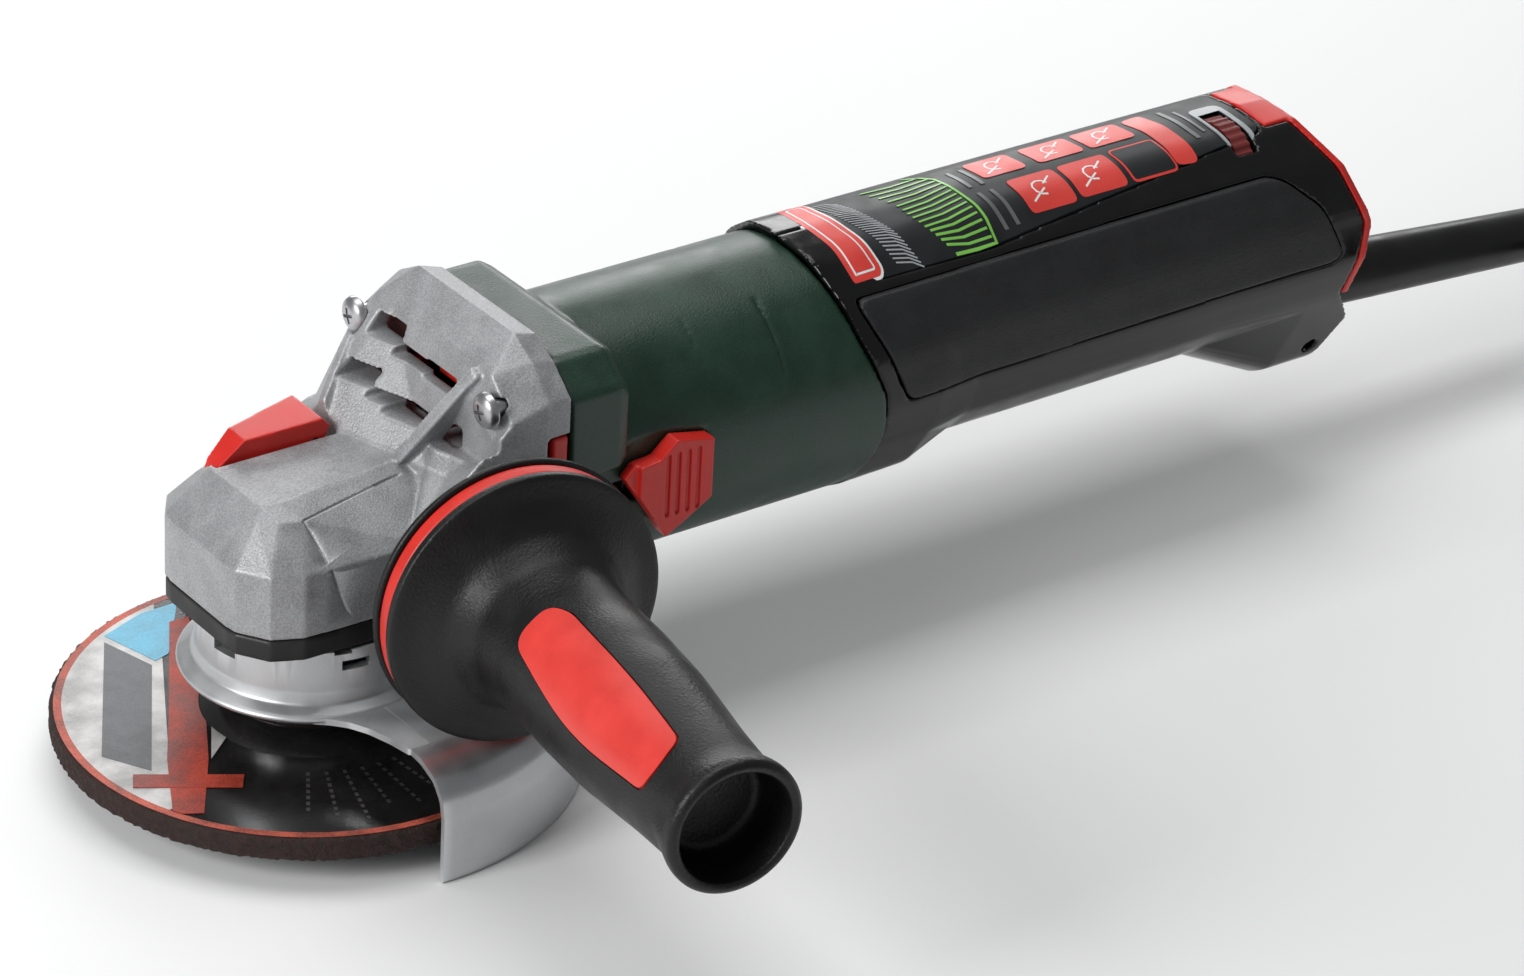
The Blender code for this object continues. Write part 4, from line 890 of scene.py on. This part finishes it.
def handle_top(y):
    """Height of the handle's upper surface, from the same rounded section."""
    half = [(-30.8, 83), (-25.5, 95.1), (-19.8, 99.2), (-12, 104.4), (0, 105.6), (12, 104.4), (19.8, 99.2),
            (25.5, 95.1),
            (30.8, 83)]
    line = fillet(half, 3.5, 3, closed=False)
    for (y0, z0), (y1, z1) in zip(line, line[1:]):
        if y0 <= y <= y1:
            return z0 + (z1 - z0) * (y - y0) / max(1e-6, y1 - y0)
    return 83.0


def wheel_pocket(grow):
    y, z = WHEEL_AXIS
    return rod((272 - grow, y, z), (278 + grow, y, z), 12.8 + grow, sides=64)


def make_handle():
    inner = handle_form(2.8)
    for name, side in (("left", -1), ("right", 1)):
        shell = handle_form()
        low, high = sorted((side * 0.05, side * 80))
        keep(shell, block((100, low, 0), (400, high, 150)))
        inner_copy = inner.copy()
        inner_copy.data = inner.data.copy()
        SCENE.collection.objects.link(inner_copy)
        floor = handle_form(1.6)
        pad_low, pad_high = (22, 45) if side > 0 else (-45, -22)
        pocket = cut(prism(fillet(inset(PAD_OUTLINE, -0.3), 2, 2), pad_low, pad_high, "Y"), floor)
        panel_pocket = cut(prism(fillet(inset(PANEL_OUTLINE, -0.3), 2, 2), 90, 120), handle_form(1.3))
        front = [(x + 0.3, z) for x, z in BOUNDARY]
        rear = [(x - 2.6, z) for x, z in REAR_LINE]
        cut(
            shell,
            inner_copy,
            prism([(100, 130)] + front + [(100, 10)], -60, 60, "Y"),
            prism(rear + [(400, 10), (400, 130)], -60, 60, "Y"),
            pocket,
            panel_pocket,
            wheel_pocket(0.7),
            rod((290, 0, 48.8), (330, 0, 45.2), 9.6, sides=48),
            block((285, -11.3, 101), (300, 11.3, 120)),
            rod((303.5, -40, 37.5), (303.5, 40, 37.5), 2.2, sides=24),
        )
        softened(shell, 0.6, 3, 0.3)
        piece(f"handle_half_{name}", shell, "tool_body", "gloss_black", "black_plastic",
              f"handle_shell_{name}")

        pad = handle_form(-0.5)
        keep(pad, prism(fillet(PAD_OUTLINE, 3.0, 3), pad_low, pad_high, "Y"))
        cut(pad, handle_form(1.3))
        softened(pad, 0.5, 4, 0.3)
        piece(f"side_pad_{name}", pad, "tool_body", "soft_grip", "soft_grip", f"grip_pad_{name}")
    bpy.data.objects.remove(inner)

    frame_piece = softened(cad("rear_frame"), 0.45, 4, 0.4)
    piece("rear_bezel", frame_piece, "tool_body", "red_plastic", "red_plastic", "rear_frame")
    grille = softened(cad("rear_grille"), 0.45, 3, 0.4)
    piece("air_intake", grille, "tool_body", "black_plastic", "black_plastic", "rear_grille")

    y, z = WHEEL_AXIS
    outline = []
    for i in range(120):
        radius = 12.4 if i % 4 in (0, 1) else 12.0
        outline.append((y + radius * math.cos(math.radians(3 * i)),
                        z + radius * math.sin(math.radians(3 * i))))
    wheel = prism(outline, 272.3, 277.7, "X")
    cut(wheel, rod((268, y, z), (282, y, z), 2.6, sides=32))
    for side_x in (272.3, 277.7):
        cut(wheel, lathe([(5, -0.8), (10.2, -0.8), (10.2, 0.8), (5, 0.8)], 64, place=along_x(side_x, y, z)))
    piece("speed_dial", wheel, "speed_wheel_unit", "wheel_red", "black_plastic", "speed_wheel", angle=30)


def draped(outlines, lift, thick=0.25, grid_x=5.0, grid_y=1.5):
    """Flat outlines laid on the handle's curved top, as thin closed shapes."""
    shape = bmesh.new()
    for outline in outlines:
        shape.faces.new([shape.verts.new((x, y, 0)) for x, y in outline])
    xs = [x for outline in outlines for x, _ in outline]
    ys = [y for outline in outlines for _, y in outline]
    for axis, low, high, pitch in ((0, min(xs), max(xs), grid_x), (1, min(ys), max(ys), grid_y)):
        spot = low + pitch
        while spot < high:
            place, normal = Vector((0, 0, 0)), Vector((0, 0, 0))
            place[axis], normal[axis] = spot, 1
            everything = shape.verts[:] + shape.edges[:] + shape.faces[:]
            bmesh.ops.bisect_plane(shape, geom=everything, plane_co=place, plane_no=normal)
            spot += pitch
    bmesh.ops.recalc_face_normals(shape, faces=shape.faces[:])
    lifted = bmesh.ops.extrude_face_region(shape, geom=shape.faces[:])["geom"]
    upper = {v for v in lifted if isinstance(v, bmesh.types.BMVert)}
    for vert in shape.verts:
        vert.co.z = handle_top(vert.co.y) + lift - (0 if vert in upper else thick)
    return solid(shape)


def decal(name, outlines, lift, look, thick=0.25):
    return piece(name, draped(outlines, lift, thick), "tool_body", look, "label_print", angle=40)


def tile(x0, x1, y0, y1, lean=0.0, corner=1.6):
    """A rounded four-sided outline whose far side leans back by an amount."""
    return fillet([(x0, y0), (x1, y0), (x1 + lean, y1), (x0 + lean, y1)], corner, 3)


def stroke(start, end, width):
    start, end = Vector(start), Vector(end)
    side = (end - start).normalized()
    side = Vector((-side.y, side.x)) * width / 2
    return [tuple(start + side), tuple(start - side), tuple(end - side), tuple(end + side)]


def band(points, width):
    """A line of constant width through points."""
    left, right = [], []
    for i, point in enumerate(points):
        along = (Vector(points[min(i + 1, len(points) - 1)]) - Vector(points[max(i - 1, 0)])).normalized()
        side = Vector((-along.y, along.x)) * width / 2
        left.append(tuple(Vector(point) + side))
        right.append(tuple(Vector(point) - side))
    return left + right[::-1]


def make_panel():
    outline = fillet(PANEL_OUTLINE, 3.0, 3)
    panel = draped([outline], 0.05, 1.0)
    cut(panel, wheel_pocket(0.7))
    piece("print_panel", panel, "tool_body", "label_print", "label_print", "top_panel", angle=40)
    frame_line = [(143.5, -19.5), (143.8, -21.5), (153, -21.3), (154.4, -19), (153.2, -6), (152.5, 6),
                  (152.6, 13),
                  (143.6, 13.5), (142.8, 0)]
    decal("panel_badge_border", [fillet(frame_line, 1.4, 3)], 0.22, "print_white")
    decal("panel_badge", [fillet(inset(frame_line, 0.7), 1.2, 3)], 0.32, "coral_print")
    decal("panel_badge_inner", [fillet(inset(frame_line, 2.2), 1.0, 3)], 0.42, "print_white")
    decal("panel_badge_field", [fillet(inset(frame_line, 2.7), 0.9, 3)], 0.5, "coral_print")
    hatch = []
    for index in range(26):
        y = -19.6 + 1.12 * index
        x = 165.6 - 0.25 * index
        hatch.append(band([(x - 7.0, y + 0.9), (x - 2.6, y), (x, y - 1.7)], 0.32))
    decal("panel_hatch", hatch, 0.2, "print_grey", 0.12)
    starts = [(175, -18), (173.5, -15), (171.9, -12), (171.1, -7.5), (171.3, -3.2), (169.8, 3.1),
              (167.9, 8.9)]
    border = [(182.2, 11), (186.5, 8.6), (188.9, 5.9), (189.4, -0.2), (189.9, -9.4), (189.9, -15),
              (189, -20.7),
              (183, -20.9), (176.2, -20.7)]
    greens = [band(border, 0.8)]
    for index in range(14):
        share = index / 13 * (len(starts) - 1)
        first = Vector(starts[int(share)])
        following = Vector(starts[min(int(share) + 1, len(starts) - 1)])
        start = first.lerp(following, share - int(share))
        end = Vector((188.6 - 0.35 * max(0, index - 10) ** 1.5, -19.0 + 2.15 * index))
        middle = start.lerp(end, 0.5) + Vector((-0.6, -0.7))
        greens.append(band([tuple(start), tuple(middle), tuple(end)], 0.62))
    decal("panel_green_comb", greens, 0.24, "print_green", 0.12)
    tiles = [tile(203.6, 218.5, -16.8, -4.5), tile(220, 235.5, -16.4, -4.5), tile(200, 214, -1, 9),
             tile(218, 233, -1, 9),
             tile(235, 250, -1, 9)]
    decal("panel_tiles", tiles, 0.22, "coral_print", 0.12)
    signs = []
    for x, y in ((211, -10.5), (227.8, -10.4), (207, 4), (225.5, 4), (242.5, 4)):
        signs += [band([(x + 2.6 * math.cos(t),
                         y + 2.6 * math.sin(t)) for t in (i * math.pi / 5 + 0.4 for i in range(8))], 0.5),
                  stroke((x - 4.8, y - 3.6), (x + 0.5, y - 0.6), 0.5), stroke((x + 1.2, y + 1.0),
                          (x + 4.6, y + 3.4), 0.5)]
    decal("panel_signs", signs, 0.30, "print_white", 0.1)
    black = tile(237.3, 252.3, -16.4, -4)
    decal("panel_square_border", [black], 0.22, "coral_print", 0.12)
    decal("panel_square", [inset(black, 0.6)], 0.30, "label_print", 0.12)
    arc = [(255.8, -15.5), (256.6, -8), (256.6, 0), (255.4, 9)]
    decal("panel_bar", [fillet(band(arc, 7.0), 2.0, 3)], 0.22, "coral_print", 0.12)
    faint = [stroke((194 + 4 * i, -18.5 + 0.4 * i), (194 + 4 * i, -6), 1.2) for i in range(2)]
    faint += [stroke((194 + 4 * i, -3), (194 + 4 * i, 7), 1.2) for i in range(2)]
    faint += [stroke((264.5, -9), (264.5, 8), 1.4), stroke((268, -7), (268, 6), 1.0)]
    decal("panel_lines", faint, 0.2, "print_dark_grey", 0.1)
    rim = [fillet([(270.4, -14.6), (280.2, -14.2), (280.2, 3.4), (270.4, 3.8)], 2.5, 3)]
    ring = draped(rim, 0.3, 0.5)
    cut(ring, wheel_pocket(0.7))
    piece("panel_wheel_rim", ring, "tool_body", "print_grey", "label_print", angle=40)


make_handle()
make_panel()

# ---------------------------------------------------------------- side handle

SIDE_HANDLE_AT = (20.9, -60.6, 63.5)
SIDE_HANDLE_LEAN = 7.56
SIDE_LENGTH = 104.0
FLANGE_RADIUS = 35.0
BADGE_ANGLE = 138.0


def side_handle_place():
    lean = math.radians(SIDE_HANDLE_LEAN)
    outward = Vector((-math.sin(lean), -math.cos(lean), 0))
    return Matrix.Translation(SIDE_HANDLE_AT) @ outward.to_track_quat("Z", "Y").to_matrix().to_4x4()


def grip_line(smaller=0.0):
    line = [(15.4, SIDE_LENGTH), (16.8, SIDE_LENGTH - 1.2), (16.9, SIDE_LENGTH - 3.5),
            (15.3, SIDE_LENGTH - 10), (16.2, 80),
            (18.4, 58), (18.9, 40), (18.6, 22), (19.4, 12), (23, 5.5), (29, 1.8)]
    return [(r - smaller, z) for r, z in line]


def make_side_handle():
    place = side_handle_place()
    outer = [(0, 90), (12.4, 90), (13.4, 94), (13.9, SIDE_LENGTH - 0.6)] + grip_line()
    outer += [(34, 0.6), (FLANGE_RADIUS, 0), (FLANGE_RADIUS, -2.4), (20, -2.4), (4.3, -2.4), (4.3, 40),
              (0, 40)]
    grip = lathe(fillet(outer, 2.2, 4, closed=False), 128, place=place)
    outline = [(27, -7.5), (27, 4), (58.5, 10), (87, 7), (88.5, 0), (86.5, -7), (62, -9.4), (32.5, -9.8)]
    turn = place @ Matrix.Rotation(math.radians(BADGE_ANGLE), 4, "Z")
    swap = Matrix(((0, 0, 1, 0), (0, 1, 0, 0), (1, 0, 0, 0), (0, 0, 0, 1)))

    def patch(grow, deep=5):
        form = prism(fillet(inset(outline, -grow), [4, 4, 14, 2.5, 3, 2.5, 14, 4], 6), deep, 40)
        form.data.transform(turn @ swap)
        return form

    def core(smaller):
        line = fillet([(0, SIDE_LENGTH)] + grip_line(smaller) + [(0, 1.8)], 2.2, 4, closed=False)
        return lathe(line, 128, place=place)

    pocket = cut(patch(0.3), core(1.3))
    cut(grip, pocket)
    piece("side_grip", grip, "tool_body", "grip_black", "soft_grip", "side_handle_grip", angle=35)
    badge = keep(patch(0), core(-0.3))
    cut(badge, core(1.0))
    piece("side_grip_badge", badge, "tool_body", "coral_print", "red_plastic", "side_handle_badge",
          angle=35)
    ring = [(34.2, -2.7), (34.2, -7.2), (12, -7.2), (12, -2.7)]
    piece("vibration_ring", lathe(fillet(ring, 1.0, 3), 128, place=place), "tool_body", "damper_red",
          "red_plastic",
          "damper_ring", angle=35)
    base = [(FLANGE_RADIUS, -7.5), (FLANGE_RADIUS, -9.4), (20, -10.5), (13, -15), (11, -23.6), (4.3, -23.6),
            (4.3, -7.5)]
    piece("side_grip_foot", lathe(fillet(base, 1.2, 3), 128, place=place), "tool_body", "grip_black",
          "black_plastic",
          "side_handle_base", angle=35)
    stud = [(0, 36), (4, 36)]
    for index in range(29):
        z = 35.5 - 2.5 * index
        stud += [(4.0, z), (3.5, z - 1.25)]
    stud += [(4, -36), (0, -36)]
    piece("side_grip_stud", lathe(stud, 40, place=place), "tool_body", "steel", "steel", "side_handle_stud",
          angle=30)


make_side_handle()

# ---------------------------------------------------------------- the CAD nodes that stay

LOOKS = {
    "steel": ("upper_spindle_bearing", "lower_spindle_bearing", "front_motor_bearing",
              "rear_motor_bearing", "clamp_screw_1", "clamp_screw_2", "crown_gear", "rotor_shaft",
              "pinion_gear", "speed_wheel_shaft", "lever_pin", "lock_pin"),
    "laminations": ("stator_core", "rotor_core"),
    "copper": ("stator_winding_front", "stator_winding_rear"),
    "black_plastic": ("rear_bearing_bracket", "electronics_module", "power_switch", "cord_clamp",
                      "motor_fan", "switch_rod"),
    "capacitor_sleeve": ("capacitor_1", "capacitor_2"),
}
EDGE_WIDTH = 0.25  # mm


def dress_cad_nodes():
    dressed = [(name, look) for look, names in LOOKS.items() for name in names]
    for name, look in dressed:
        node = NODES[name]
        node.data.materials.clear()
        node.data.materials.append(MATERIALS[look])
        edge = node.modifiers.new("soft_edge", "BEVEL")
        edge.width = EDGE_WIDTH * MM
        edge.segments = 2
        edge.limit_method = "ANGLE"
        edge.angle_limit = math.radians(40)
        edge.use_clamp_overlap = True


dress_cad_nodes()
